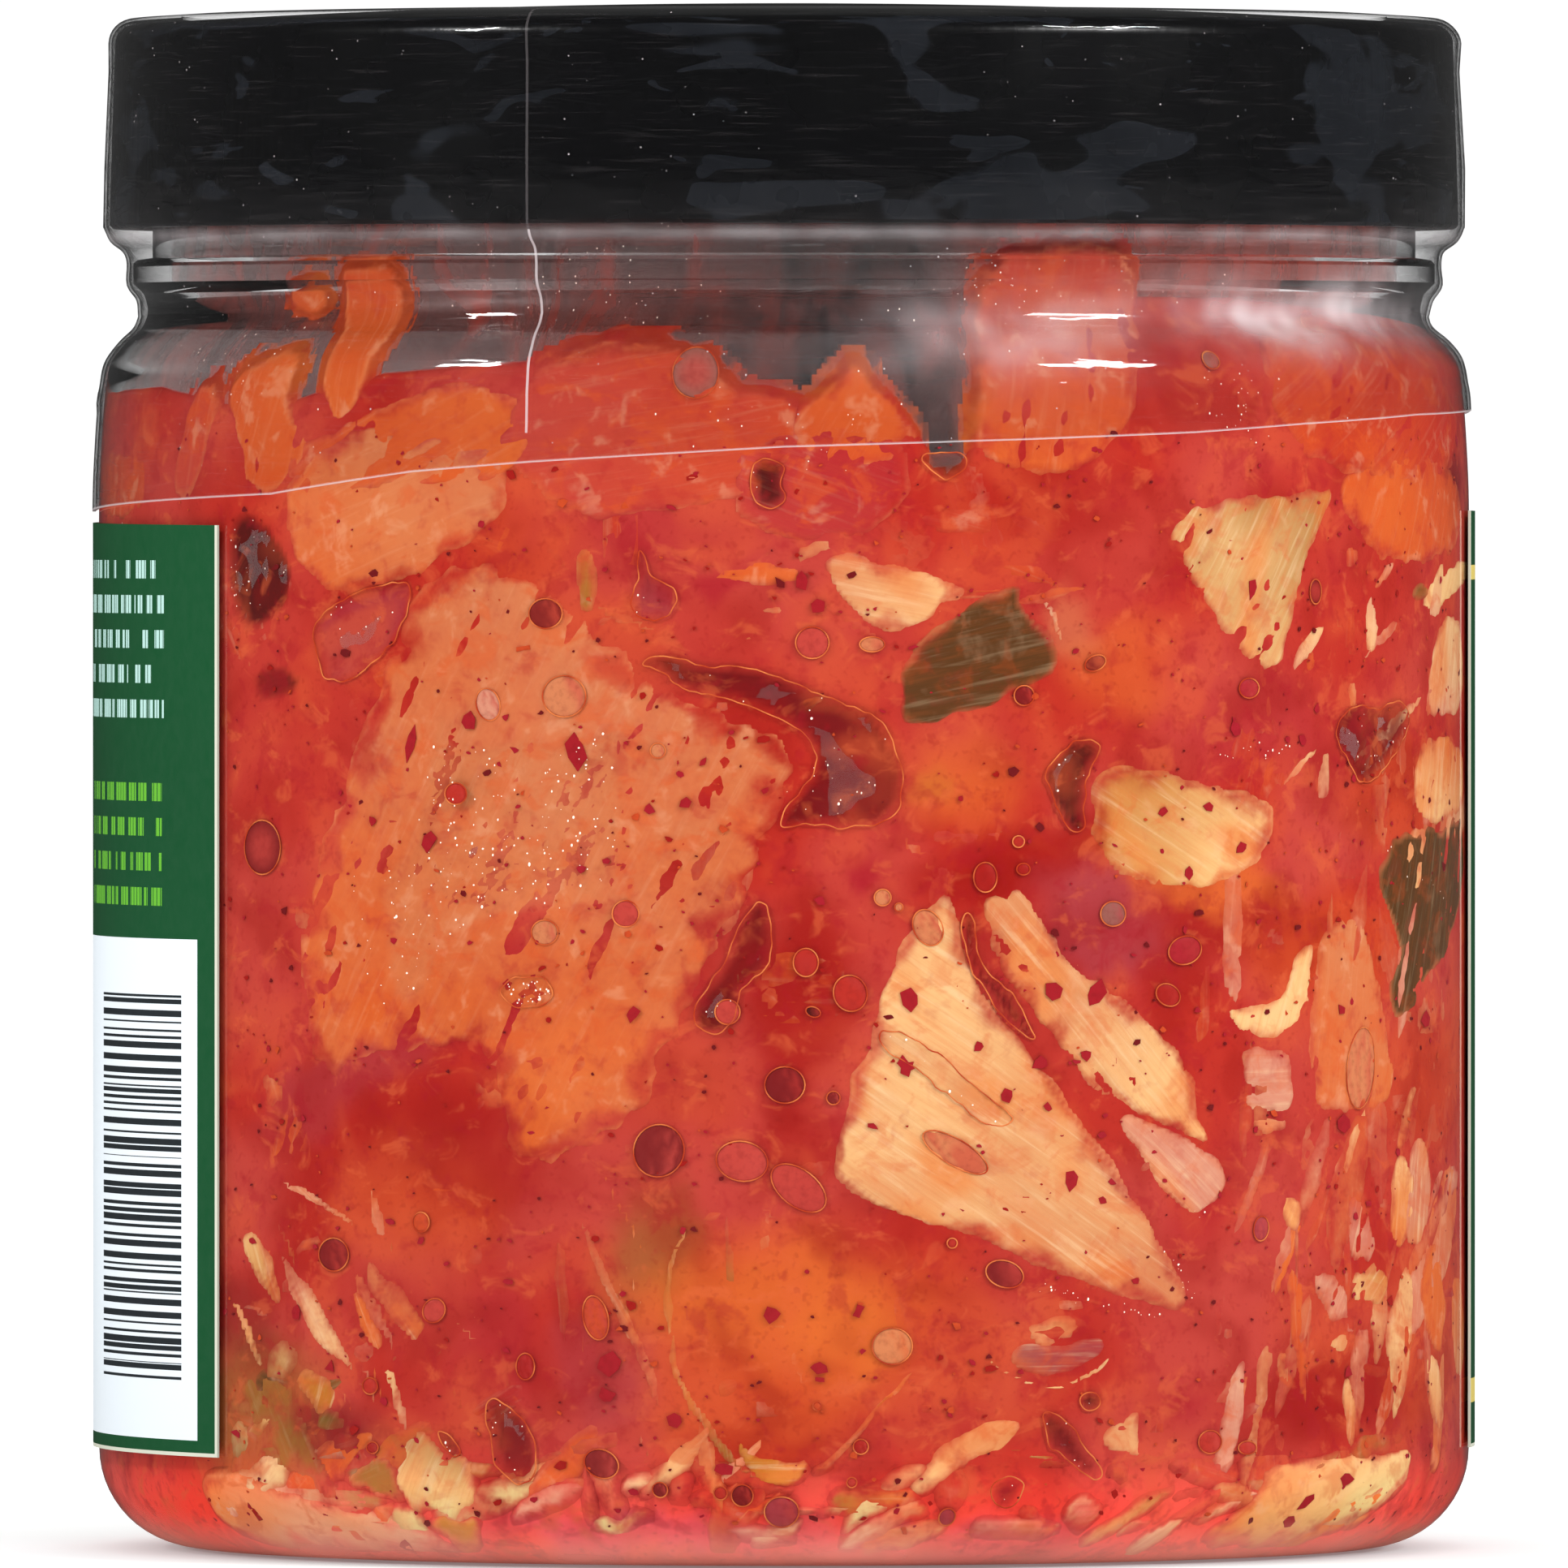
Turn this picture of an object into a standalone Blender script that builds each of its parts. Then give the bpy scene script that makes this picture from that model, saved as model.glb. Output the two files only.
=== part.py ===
"""Kimchi jar: a clear, wide-mouthed plastic jar with a black screw cap, a clear shrink
sleeve over cap and shoulder, a paper label wrapped round the back, and a packed heap of
cut cabbage, leaf and radish inside.

Metres, +Z up. The jar stands on its foot ring at z = 0, on the Z axis. The front, where
the label leaves a window, faces -Y, and a turn in degrees goes from the front towards +X.
"""

import math
import random

import bmesh
import bpy
from mathutils import Vector, noise

MM = 0.001
STEPS = 42
GAP = 0.3

# Jar body and neck, in millimetres.
BODY_RADIUS = 56.75
WALL = 1.2
BASE_ROUND = 8.15
FOOT_INNER = 45.0
PUSH_UP_RADIUS = 41.0
PUSH_UP = 2.6
SIDE_TOP = 85.0
SHOULDER = ((88.5, 56.68), (93.5, 56.4), (96.4, 56.1), (98.0, 55.7), (99.6, 54.5), (100.8, 53.2))
GROOVE_RADIUS = 52.7
GROOVE_TOP = 103.6
LEDGE_RADIUS = 53.9
LEDGE_LOW = 104.2
LEDGE_HIGH = 106.4
NECK_RADIUS = 52.3
NECK_WALL = 1.4
LIP = 123.7

# Screw cap.
CAP_LOW = 109.0
CAP_RIM = 125.85
CAP_CROWN = 127.6
CAP_LOW_RADIUS = 55.85
CAP_HIGH_RADIUS = 55.4
CAP_EDGE_ROUND = 1.5
CAP_WALL = 1.6
CAP_TOP_WALL = 1.5

# Shrink sleeve.
SLEEVE = 0.25
SLEEVE_LAP = 4.0
SLEEVE_EDGE = ((-90, 85.6), (-47, 87.0), (-32, 88.8), (-21, 89.6), (0, 90.8), (20, 91.4),
               (36, 92.0), (48, 92.7), (66, 93.5), (90, 94.0), (180, 89.5), (270, 85.6))

# Label: it starts left of the window and runs round the back to the window's right side.
LABEL = 0.2
LABEL_LOW = 8.3
LABEL_HIGH_LEFT = 84.5
LABEL_HIGH_RIGHT = 85.7
LABEL_START = -54.0
LABEL_END = 82.0 - 360.0
LABEL_STEPS = 38

# Kimchi.
CORE_RADIUS = 51.0
CORE_LOW = 4.6
CORE_TOP = 92.0
CORE_SHOULDER = 80.0
# Height of the heap at the wall, by turn: low in the dark hollow right of the front's middle,
# and up under the cap to the right of it
FILL = ((-180, 99.0), (-110, 99.0), (-84, 95.5), (-66, 96.0), (-50, 94.0), (-36, 97.0), (-20, 98.0), (-8, 95.5),
        (4, 94.5), (9, 95.5), (14, 88.0), (20, 99.0), (26, 103.5), (45, 103.5), (64, 102.0), (90, 100.0),
        (180, 99.0))
BACK_SLABS = 11
SEED = 11


def between(table, at):
    """The value at `at` along a table of (position, value) rows, straight between them."""
    for (low, first), (high, last) in zip(table, table[1:]):
        if at <= high:
            return first + (last - first) * max(0.0, at - low) / (high - low)
    return table[-1][1]


def arc(centre_r, centre_z, radius, start, end, count):
    """Points (r, z) on an arc from angle `start` to `end`, in degrees from +r to +z."""
    angles = [math.radians(start + (end - start) * k / count) for k in range(count + 1)]
    return [(centre_r + radius * math.cos(a), centre_z + radius * math.sin(a)) for a in angles]


def plain_material(name, colour, roughness, metallic=0.0, alpha=1.0, transmission=0.0):
    material = bpy.data.materials.new(name)
    material.use_nodes = True
    shader = material.node_tree.nodes["Principled BSDF"]
    shader.inputs["Base Color"].default_value = (*colour, 1.0)
    shader.inputs["Roughness"].default_value = roughness
    shader.inputs["Metallic"].default_value = metallic
    shader.inputs["Alpha"].default_value = alpha
    shader.inputs["Transmission Weight"].default_value = transmission
    material.diffuse_color = (*colour, alpha)
    return material


def face_outwards(bm):
    bmesh.ops.recalc_face_normals(bm, faces=bm.faces)
    if bm.calc_volume(signed=True) < 0.0:
        bmesh.ops.reverse_faces(bm, faces=bm.faces)


def add_object(name, bm, material, sharp=40.0):
    """Writes a bmesh in millimetres out as one named object in metres."""
    bmesh.ops.scale(bm, vec=(MM, MM, MM), verts=bm.verts)
    mesh = bpy.data.meshes.new(name)
    bm.to_mesh(mesh)
    bm.free()
    mesh.shade_smooth()
    mesh.set_sharp_from_angle(angle=math.radians(sharp))
    mesh.materials.append(material)
    made = bpy.data.objects.new(name, mesh)
    bpy.context.scene.collection.objects.link(made)
    return made


def turned(profile, closed=False, steps=STEPS):
    """Spins a profile of (r, z) points about Z into one closed surface facing out."""
    bm = bmesh.new()
    verts = [bm.verts.new((r, 0.0, z)) for r, z in profile]
    edges = [bm.edges.new(pair) for pair in zip(verts, verts[1:])]
    if closed:
        edges.append(bm.edges.new((verts[-1], verts[0])))
    bmesh.ops.spin(bm, geom=verts + edges, cent=(0, 0, 0), axis=(0, 0, 1),
                   angle=math.tau, steps=steps, use_merge=True)
    bmesh.ops.remove_doubles(bm, verts=bm.verts, dist=0.01)
    face_outwards(bm)
    return bm


def outer_wall():
    """The jar's outside from the foot ring's inner edge up to the ledge, as (r, z)."""
    ring = BODY_RADIUS - BASE_ROUND
    points = arc(ring, BASE_ROUND, BASE_ROUND, -90.0, 0.0, 7)
    points.append((BODY_RADIUS, SIDE_TOP))
    points.extend((r, z) for z, r in SHOULDER)
    points.append((GROOVE_RADIUS, (SHOULDER[-1][0] + GROOVE_TOP) / 2))
    points.append((GROOVE_RADIUS + 0.3, GROOVE_TOP))
    return points


def inner_wall():
    """The jar's inside from its floor up to the neck, as (r, z)."""
    ring = BODY_RADIUS - BASE_ROUND
    points = arc(ring, BASE_ROUND, BASE_ROUND - WALL, -90.0, 0.0, 6)
    points.append((BODY_RADIUS - WALL, SIDE_TOP))
    points.append((BODY_RADIUS - WALL - 0.3, 93.5))
    points.append((BODY_RADIUS - WALL - 1.1, 97.6))
    points.append((NECK_RADIUS - NECK_WALL + 0.5, 101.6))
    points.append((NECK_RADIUS - NECK_WALL, 104.0))
    return points


def inner_radius(z):
    """The radius of the jar's inside at a height."""
    return between([(height, r) for r, height in inner_wall()], z)


def build_jar(material):
    outside = [(0.0, PUSH_UP), (PUSH_UP_RADIUS, PUSH_UP), (FOOT_INNER, 0.0)] + outer_wall()
    outside += [(LEDGE_RADIUS - 0.3, LEDGE_LOW), (LEDGE_RADIUS, LEDGE_LOW + 0.3),
                (LEDGE_RADIUS, LEDGE_HIGH - 0.3), (LEDGE_RADIUS - 0.3, LEDGE_HIGH),
                (NECK_RADIUS, LEDGE_HIGH + 0.2), (NECK_RADIUS, LIP - 0.4), (NECK_RADIUS - 0.4, LIP)]
    inside = [(NECK_RADIUS - NECK_WALL + 0.3, LIP), (NECK_RADIUS - NECK_WALL, LIP - 0.3)]
    inside += list(reversed(inner_wall()))
    inside += [(FOOT_INNER - 0.4, WALL), (PUSH_UP_RADIUS - 0.6, PUSH_UP + WALL), (0.0, PUSH_UP + WALL)]
    return add_object("jar", turned(outside + inside), material)


def cap_outside():
    """The cap's outside from the crown to the lower edge of the skirt, as (r, z)."""
    edge = CAP_HIGH_RADIUS - CAP_EDGE_ROUND
    points = []
    for k in range(5):
        r = edge * k / 5
        points.append((r, CAP_CROWN - (CAP_CROWN - CAP_RIM) * (r / edge) ** 2))
    points += arc(edge, CAP_RIM - CAP_EDGE_ROUND, CAP_EDGE_ROUND, 90.0, 0.0, 4)
    points += [(CAP_LOW_RADIUS, CAP_LOW + 0.3), (CAP_LOW_RADIUS - 0.3, CAP_LOW)]
    return points


def build_cap(material):
    hollow = CAP_HIGH_RADIUS - CAP_WALL
    roof = LIP + GAP
    inside = [(hollow + 0.3, CAP_LOW), (hollow, CAP_LOW + 0.3), (hollow, roof - 0.5),
              (hollow - 0.5, roof), (0.0, roof)]
    return add_object("cap", turned(cap_outside() + inside), material)


def sleeve_path():
    """The sleeve's inner face from the cap's top down to its nominal lower edge."""
    edge = CAP_HIGH_RADIUS - CAP_EDGE_ROUND
    start = edge - SLEEVE_LAP
    drop = (CAP_CROWN - CAP_RIM) * (1.0 - (start / edge) ** 2)
    points = [(start, CAP_RIM + drop + GAP)]
    points += arc(edge, CAP_RIM - CAP_EDGE_ROUND, CAP_EDGE_ROUND + GAP, 90.0, 0.0, 4)
    points += [(CAP_LOW_RADIUS + GAP, CAP_LOW), (CAP_LOW_RADIUS - 0.1, CAP_LOW - 0.6),
               (LEDGE_RADIUS + GAP + 0.2, LEDGE_HIGH + 0.7), (LEDGE_RADIUS + GAP, LEDGE_HIGH),
               (LEDGE_RADIUS + GAP, LEDGE_LOW), (GROOVE_RADIUS + GAP + 0.25, GROOVE_TOP - 0.8),
               (GROOVE_RADIUS + GAP + 0.1, 101.6)]
    points += [(r + GAP, z + 0.1) for z, r in reversed(SHOULDER)]
    return points


def offset(points, distance):
    """The same path moved by `distance` to its left, away from the jar."""
    moved = []
    for k, (r, z) in enumerate(points):
        before = points[max(k - 1, 0)]
        after = points[min(k + 1, len(points) - 1)]
        along = Vector((after[0] - before[0], after[1] - before[1])).normalized()
        moved.append((r - along.y * distance, z + along.x * distance))
    return moved


def build_sleeve(material):
    inner = sleeve_path()
    bm = turned(inner + list(reversed(offset(inner, SLEEVE))), closed=True)
    wall = [(z, r) for r, z in outer_wall()]
    pivot, nominal = SHOULDER[3][0], SHOULDER[0][0]
    for vert in bm.verts:
        if vert.co.z < pivot:
            outside = vert.co.xy.length - between(wall, vert.co.z) > GAP + SLEEVE / 2
            turn = math.degrees(math.atan2(vert.co.x, -vert.co.y))
            turn = turn + 360.0 if turn < -90.0 else turn
            share = (pivot - vert.co.z) / (pivot - nominal)
            vert.co.z = pivot - share * (pivot - between(SLEEVE_EDGE, turn))
            radius = between(wall, vert.co.z) + GAP + (SLEEVE if outside else 0.0)
            vert.co.xy = vert.co.xy.normalized() * radius
    return add_object("shrink_sleeve", bm, material)


def build_label(material):
    inner = BODY_RADIUS + GAP
    bm = bmesh.new()
    corners = [(inner, LABEL_LOW), (inner + LABEL, LABEL_LOW),
               (inner + LABEL, LABEL_HIGH_LEFT), (inner, LABEL_HIGH_LEFT)]
    start = math.radians(LABEL_START)
    verts = [bm.verts.new((r * math.sin(start), -r * math.cos(start), z)) for r, z in corners]
    face = bm.faces.new(verts)
    bmesh.ops.spin(bm, geom=[face], cent=(0, 0, 0), axis=(0, 0, 1),
                   angle=math.radians(LABEL_END - LABEL_START), steps=LABEL_STEPS)
    middle = (LABEL_LOW + LABEL_HIGH_LEFT) / 2
    for vert in bm.verts:
        if vert.co.z > middle:
            turn = math.degrees(math.atan2(vert.co.x, -vert.co.y))
            turn = turn - 360.0 if turn > LABEL_START + 1.0 else turn
            share = (turn - LABEL_START) / (LABEL_END - LABEL_START)
            vert.co.z += (LABEL_HIGH_RIGHT - LABEL_HIGH_LEFT) * share
    face_outwards(bm)
    return add_object("label", bm, material)


def reach_at(z):
    """The radius that the kimchi's showing pieces come out to, clear of the wall's facets."""
    return min(inner_radius(z - 3.0) if z > 90.0 else inner_radius(z), inner_radius(z),
               inner_radius(z + 3.0)) - GAP - 0.25


def above_floor(z):
    """A height, with what would lie near or under the floor pressed together above it."""
    low, start = 1.8, 5.0
    return z if z > start else low + (start - low) * math.exp((z - start) / (start - low))


def top_height(x, y):
    """The height of the heap's top: the fill line at the wall, sinking to a lumpy middle."""
    turn = math.degrees(math.atan2(x, -y))
    share = min(1.0, math.hypot(x, y) / CORE_RADIUS)
    lumps = noise.noise(Vector((x, y, 0.0)) * 0.06) * (1.0 - share ** 4)
    return CORE_TOP + (between(FILL, turn) - CORE_TOP) * share ** 2 + 6.0 * lumps


def core_piece(rng):
    """The middle of the heap: an uneven drum with a rough top."""
    bm = bmesh.new()
    rings = ((CORE_LOW, 0.78), (6.5, 0.93), (14.0, 1.0), (30.0, 1.0), (46.0, 1.0),
             (62.0, 1.0), (CORE_SHOULDER, 1.0), (CORE_TOP, 1.0), (CORE_TOP, 0.75), (CORE_TOP, 0.4))
    profile = [(0.0, CORE_LOW)] + [(CORE_RADIUS * k, z) for z, k in rings] + [(0.0, CORE_TOP)]
    bm = turned(profile, steps=28)
    shift = Vector((rng.uniform(0, 50), rng.uniform(0, 50), 0.0))
    for vert in bm.verts:
        rough = noise.noise(vert.co * 0.09 + shift)
        if vert.co.z > CORE_SHOULDER + 1.0:
            vert.co.z = top_height(vert.co.x, vert.co.y)
        radial = vert.co.xy.length
        if radial > 1.0:
            reach = min(radial * (1.0 + 0.035 * rough), reach_at(vert.co.z))
            vert.co.xy *= reach / radial
    return bm


def slab_piece(turn, height, across, along, thick, roll, taper=0.8, wave=0.5, seed=0, lift=0.0):
    """A cut of cabbage, leaf or radish lying against the wall.

    turn and roll are in degrees, the rest in millimetres: across by along by thick, its
    middle at `height`, and `lift` the distance that it stays back from the wall.
    """
    bm = bmesh.new()
    columns, rows = max(2, round(across / 8)), max(3, round(along / 9))
    made = bmesh.ops.create_grid(bm, x_segments=columns, y_segments=rows, size=0.5)
    spin, centre = math.radians(roll), math.radians(turn)
    shift = Vector((seed * 3.7, seed * 1.3, seed * 0.7))
    for vert in made["verts"]:
        u, v = vert.co.x, vert.co.y
        width = across * (1.0 - (1.0 - taper) * (v + 0.5))
        ragged = 1.0 + 0.16 * noise.noise(Vector((0.0, v * 4.0, u)) + shift)
        x, y = u * width * ragged, v * along * (1.0 + 0.12 * noise.noise(Vector((u * 4.0, 0, 1)) + shift))
        vert.co = Vector((x * math.cos(spin) - y * math.sin(spin),
                          x * math.sin(spin) + y * math.cos(spin), 0.0))
    skin = bmesh.ops.extrude_face_region(bm, geom=bm.faces[:])
    back = {item for item in skin["geom"] if isinstance(item, bmesh.types.BMVert)}
    for vert in bm.verts:
        z = above_floor(height + vert.co.y)
        wave_in = wave * (0.5 + noise.noise(Vector((vert.co.x, vert.co.y, 0)) * 0.16 + shift))
        radius = reach_at(z) - lift - max(0.0, wave_in)
        if vert in back:
            radius -= thick
        angle = centre + vert.co.x / 55.0
        vert.co = Vector((radius * math.sin(angle), -radius * math.cos(angle), z))
    face_outwards(bm)
    return bm


def lump_piece(turn, height, radius, size, seed):
    """A rounded lump of chopped cabbage that stands up out of the heap's top."""
    bm = bmesh.new()
    bmesh.ops.create_icosphere(bm, subdivisions=2, radius=1.0)
    shift = Vector((seed * 2.1, seed * 0.9, seed * 1.7))
    angle = math.radians(turn)
    for vert in bm.verts:
        rough = 1.0 + 0.25 * noise.noise(vert.co * 1.4 + shift)
        local = Vector((vert.co.x * size[0], vert.co.y * size[1], vert.co.z * size[2])) * rough
        vert.co = Vector((local.x * math.cos(angle) - local.y * math.sin(angle) + radius * math.sin(angle),
                          local.x * math.sin(angle) + local.y * math.cos(angle) - radius * math.cos(angle),
                          local.z + height))
    return bm


def showing_pieces(rng):
    """The pieces seen through the window, then cuts of like kinds round the hidden back."""
    pieces = [
        slab_piece(-22, 58, 34, 46, 6.0, -24, 0.85, 1.0, 1),
        slab_piece(21, 38, 15, 40, 5.5, 52, 1.7, 0.6, 2),
        slab_piece(35, 59, 13, 20, 6.0, 75, 0.8, 0.7, 3),
        slab_piece(46, 80, 18, 18, 4.5, 200, 0.35, 0.8, 4),
        slab_piece(8, 80, 8, 13, 4.0, 62, 0.8, 0.5, 5),
        slab_piece(17, 73, 13, 17, 3.5, -66, 0.9, 0.8, 6),
        slab_piece(69, 52, 9, 17, 3.5, 8, 0.7, 0.8, 7),
        slab_piece(-38, 10, 12, 27, 4.0, 55, 1.2, 1.0, 8),
        slab_piece(5, 17, 16, 18, 5.0, -35, 0.8, 0.6, 9),
        slab_piece(28, 43, 11, 34, 4.0, 38, 0.7, 0.7, 10),
        slab_piece(54, 34, 22, 40, 5.0, -8, 0.8, 1.2, 11),
        slab_piece(54, 6.5, 14, 22, 4.0, 86, 0.8, 0.4, 12),
        slab_piece(-48, 7, 9, 28, 4.0, 80, 0.8, 0.4, 13),
        slab_piece(14, 9, 5, 17, 4.0, -50, 0.7, 0.4, 14),
        slab_piece(-45, 22, 8, 19, 4.0, 20, 0.6, 0.6, 15),
        slab_piece(22, 18, 8, 10, 4.0, -55, 1.0, 0.5, 16),
        slab_piece(-8, 12, 4, 24, 4.0, 15, 0.8, 0.5, 17),
        slab_piece(-18, 36, 20, 22, 5.0, 5, 0.9, 1.0, 18),
        slab_piece(-50, 82, 16, 26, 5.0, 12, 0.8, 1.0, 19),
        slab_piece(-27, 90, 20, 18, 5.0, -30, 0.8, 0.9, 20),
        slab_piece(-10, 92, 15, 10, 4.5, 80, 0.7, 0.7, 21),
        slab_piece(7, 89, 12, 14, 4.5, 0, 0.3, 0.6, 22),
        slab_piece(29, 92, 24, 20, 5.0, 10, 0.9, 0.8, 23),
        slab_piece(56, 94, 26, 18, 5.0, -8, 0.8, 0.9, 24),
        slab_piece(76, 86, 14, 26, 5.0, 4, 0.8, 0.9, 25),
        slab_piece(62, 70, 12, 22, 4.5, -30, 0.8, 0.9, 26),
        slab_piece(-72, 92, 20, 16, 5.0, 5, 0.8, 0.9, 27),
        slab_piece(-70, 60, 18, 30, 5.0, 30, 0.8, 1.0, 28),
        slab_piece(84, 38, 16, 34, 5.0, -14, 0.8, 1.0, 29),
        slab_piece(84, 66, 16, 26, 5.0, 14, 0.8, 1.0, 30),
        slab_piece(-68, 24, 16, 26, 5.0, -24, 0.8, 1.0, 31),
    ]
    for k in range(BACK_SLABS):
        turn = 106 + 14.0 * k + rng.uniform(-3, 3)
        height = (22, 52, 80)[k % 3] + rng.uniform(-4, 4)
        pieces.append(slab_piece(turn, height, rng.uniform(16, 24), rng.uniform(26, 36), 5.0,
                                 rng.uniform(-50, 50), rng.uniform(0.6, 0.95), 1.0, 40 + k))
    lumps = ((60, 38, (12, 9, 5)), (-40, 36, (12, 9, 5)), (118, 36, (12, 10, 5)), (180, 34, (13, 10, 5)),
             (238, 35, (12, 10, 5)), (150, 8, (13, 11, 5)))
    for k, (turn, radius, size) in enumerate(lumps):
        angle = math.radians(turn)
        height = top_height(radius * math.sin(angle), -radius * math.cos(angle))
        pieces.append(lump_piece(turn, height, radius, size, 60 + k))
    return pieces


def largest_shell(bm):
    """Keeps the one outer shell, so that sealed hollows fill up and loose scraps go."""
    left = set(bm.faces)
    shells = []
    while left:
        stack = [left.pop()]
        shell = []
        while stack:
            face = stack.pop()
            shell.append(face)
            for edge in face.edges:
                for other in edge.link_faces:
                    if other in left:
                        left.discard(other)
                        stack.append(other)
        shells.append(shell)
    keep = max(shells, key=len)
    dropped = [face for shell in shells if shell is not keep for face in shell]
    bmesh.ops.delete(bm, geom=dropped, context="FACES")


def build_kimchi(material):
    """The heap: a core with the showing pieces fused on, made one closed solid."""
    rng = random.Random(SEED)
    core = add_object("kimchi", core_piece(rng), material)
    pool = bpy.data.collections.new("kimchi_pieces")
    bpy.context.scene.collection.children.link(pool)
    for k, bm in enumerate(showing_pieces(rng)):
        piece = add_object(f"piece_{k:02d}", bm, material)
        bpy.context.scene.collection.objects.unlink(piece)
        pool.objects.link(piece)
    fuse = core.modifiers.new("fuse", "BOOLEAN")
    fuse.operation = "UNION"
    fuse.operand_type = "COLLECTION"
    fuse.collection = pool
    fuse.solver = "MANIFOLD"
    bpy.context.view_layer.update()
    graph = bpy.context.evaluated_depsgraph_get()
    fused = bpy.data.meshes.new_from_object(core.evaluated_get(graph))
    core.modifiers.remove(fuse)
    for piece in list(pool.objects):
        bpy.data.objects.remove(piece, do_unlink=True)
    bpy.data.collections.remove(pool)

    bm = bmesh.new()
    bm.from_mesh(fused)
    bmesh.ops.scale(bm, vec=(1 / MM, 1 / MM, 1 / MM), verts=bm.verts)
    largest_shell(bm)
    bmesh.ops.triangulate(bm, faces=bm.faces)
    bmesh.ops.scale(bm, vec=(MM, MM, MM), verts=bm.verts)
    bm.to_mesh(core.data)
    bm.free()
    core.data.shade_smooth()
    core.data.set_sharp_from_angle(angle=math.radians(32.0))
    bpy.data.meshes.remove(fused)
    return core


def main():
    for old in list(bpy.data.objects):
        bpy.data.objects.remove(old, do_unlink=True)
    build_jar(plain_material("clear_plastic", (0.93, 0.93, 0.93), 0.06, alpha=0.3, transmission=1.0))
    build_cap(plain_material("black_plastic", (0.004, 0.004, 0.005), 0.16))
    build_sleeve(plain_material("clear_film", (0.95, 0.95, 0.95), 0.08, alpha=0.25, transmission=1.0))
    build_label(plain_material("green_label", (0.016, 0.098, 0.04), 0.38))
    build_kimchi(plain_material("kimchi_mix", (0.52, 0.07, 0.022), 0.34))


main()
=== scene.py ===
"""Looks of a kimchi jar: clear jar, black screw cap, shrink sleeve, wrap label and its filling.

Lengths are in millimetres until a piece is finished, then in metres. The front of the jar
faces -Y. A turn goes from the front towards +X, in degrees. Pieces that lie against the
wall are shaped unrolled, with x the arc along the wall, y the depth inwards and z the
height, and are then wrapped round the jar.
"""

import itertools
import logging
import math
import random
from dataclasses import dataclass
from enum import Enum
from typing import Any, Callable, Iterable, Sequence

import bmesh
import bpy
import numpy as np
from mathutils import Matrix, Vector, noise

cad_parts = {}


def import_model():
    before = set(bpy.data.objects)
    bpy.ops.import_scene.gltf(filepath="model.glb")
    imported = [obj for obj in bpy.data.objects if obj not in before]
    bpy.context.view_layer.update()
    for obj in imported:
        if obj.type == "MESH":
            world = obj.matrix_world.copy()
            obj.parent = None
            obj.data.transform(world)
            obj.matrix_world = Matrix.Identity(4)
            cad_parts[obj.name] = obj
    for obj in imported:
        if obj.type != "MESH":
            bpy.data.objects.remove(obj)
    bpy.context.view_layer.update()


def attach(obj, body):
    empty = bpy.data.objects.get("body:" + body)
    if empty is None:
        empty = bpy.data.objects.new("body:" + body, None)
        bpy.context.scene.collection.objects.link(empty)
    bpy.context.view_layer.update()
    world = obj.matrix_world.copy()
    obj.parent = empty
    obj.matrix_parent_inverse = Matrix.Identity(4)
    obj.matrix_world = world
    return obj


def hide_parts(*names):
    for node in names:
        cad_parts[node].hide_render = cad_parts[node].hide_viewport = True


LOG = logging.getLogger("kimchi_jar")
MM = 0.001
ARC_RADIUS = 56.0

Pixels = Sequence[tuple[float, float]]
Path = list[tuple[float, float]]


class Tint(Enum):
    """The colours met on the jar and in its filling, as 8-bit sRGB."""

    DEEP = (166, 24, 18)
    RED = (188, 44, 32)
    ROSE = (196, 66, 56)
    ORANGE = (206, 74, 34)
    AMBER = (228, 108, 44)
    MAROON = (112, 18, 22)
    CRIMSON = (172, 28, 42)
    MAUVE = (168, 58, 66)
    CREAM = (255, 206, 138)
    BEIGE = (218, 136, 88)
    SHELL = (226, 156, 126)
    OLIVE = (150, 104, 42)
    GOLD = (192, 118, 36)
    MOSS = (62, 56, 24)
    GREY = (150, 96, 84)
    DARK = (58, 16, 16)
    SOOT = (30, 12, 10)

    @property
    def linear(self) -> np.ndarray:
        """The colour as linear light."""
        return linear(self.value)


def linear(colour: Sequence[float]) -> np.ndarray:
    """An 8-bit sRGB colour as linear light."""
    share = np.asarray(colour, float) / 255.0
    return np.where(share <= 0.04045, share / 12.92, ((share + 0.055) / 1.055) ** 2.4)


def smooth(low: float, high: float, at: np.ndarray) -> np.ndarray:
    """A smooth step from 0 at `low` to 1 at `high`."""
    share = np.clip((np.asarray(at, float) - low) / (high - low), 0.0, 1.0)
    return share * share * (3.0 - 2.0 * share)


def rough(points: np.ndarray, scale: float, seed: float) -> np.ndarray:
    """Smooth seeded noise from about -1 to 1.

    Args:
        points: One row of x, y and z for each place.
        scale: Waves to the millimetre.
        seed: Moves the noise along.

    Returns:
        The noise at each place.
    """
    at = np.asarray(points, float) * scale + seed * np.array([7.13, 3.71, 5.37])
    cell = np.floor(at).astype(np.int64)
    inside = at - cell
    ease = inside ** 3 * (inside * (inside * 6.0 - 15.0) + 10.0)
    total = np.zeros(len(at))
    for corner in itertools.product((0, 1), repeat=3):
        mixed = (cell + corner) @ np.array([73856093, 19349663, 83492791]) & 0xFFFFFFFF
        mixed = ((mixed ^ (mixed >> 15)) * 2246822519) & 0xFFFFFFFF
        mixed = ((mixed ^ (mixed >> 13)) * 3266489917) & 0xFFFFFFFF
        lean = np.stack([(mixed >> 2) & 1023, (mixed >> 12) & 1023, (mixed >> 22) & 1023], 1) / 511.5 - 1.0
        near = np.where(corner, ease, 1.0 - ease).prod(1)
        total += near * ((inside - corner) * lean).sum(1)
    return np.clip(total * 1.5, -1.0, 1.0)


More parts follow.
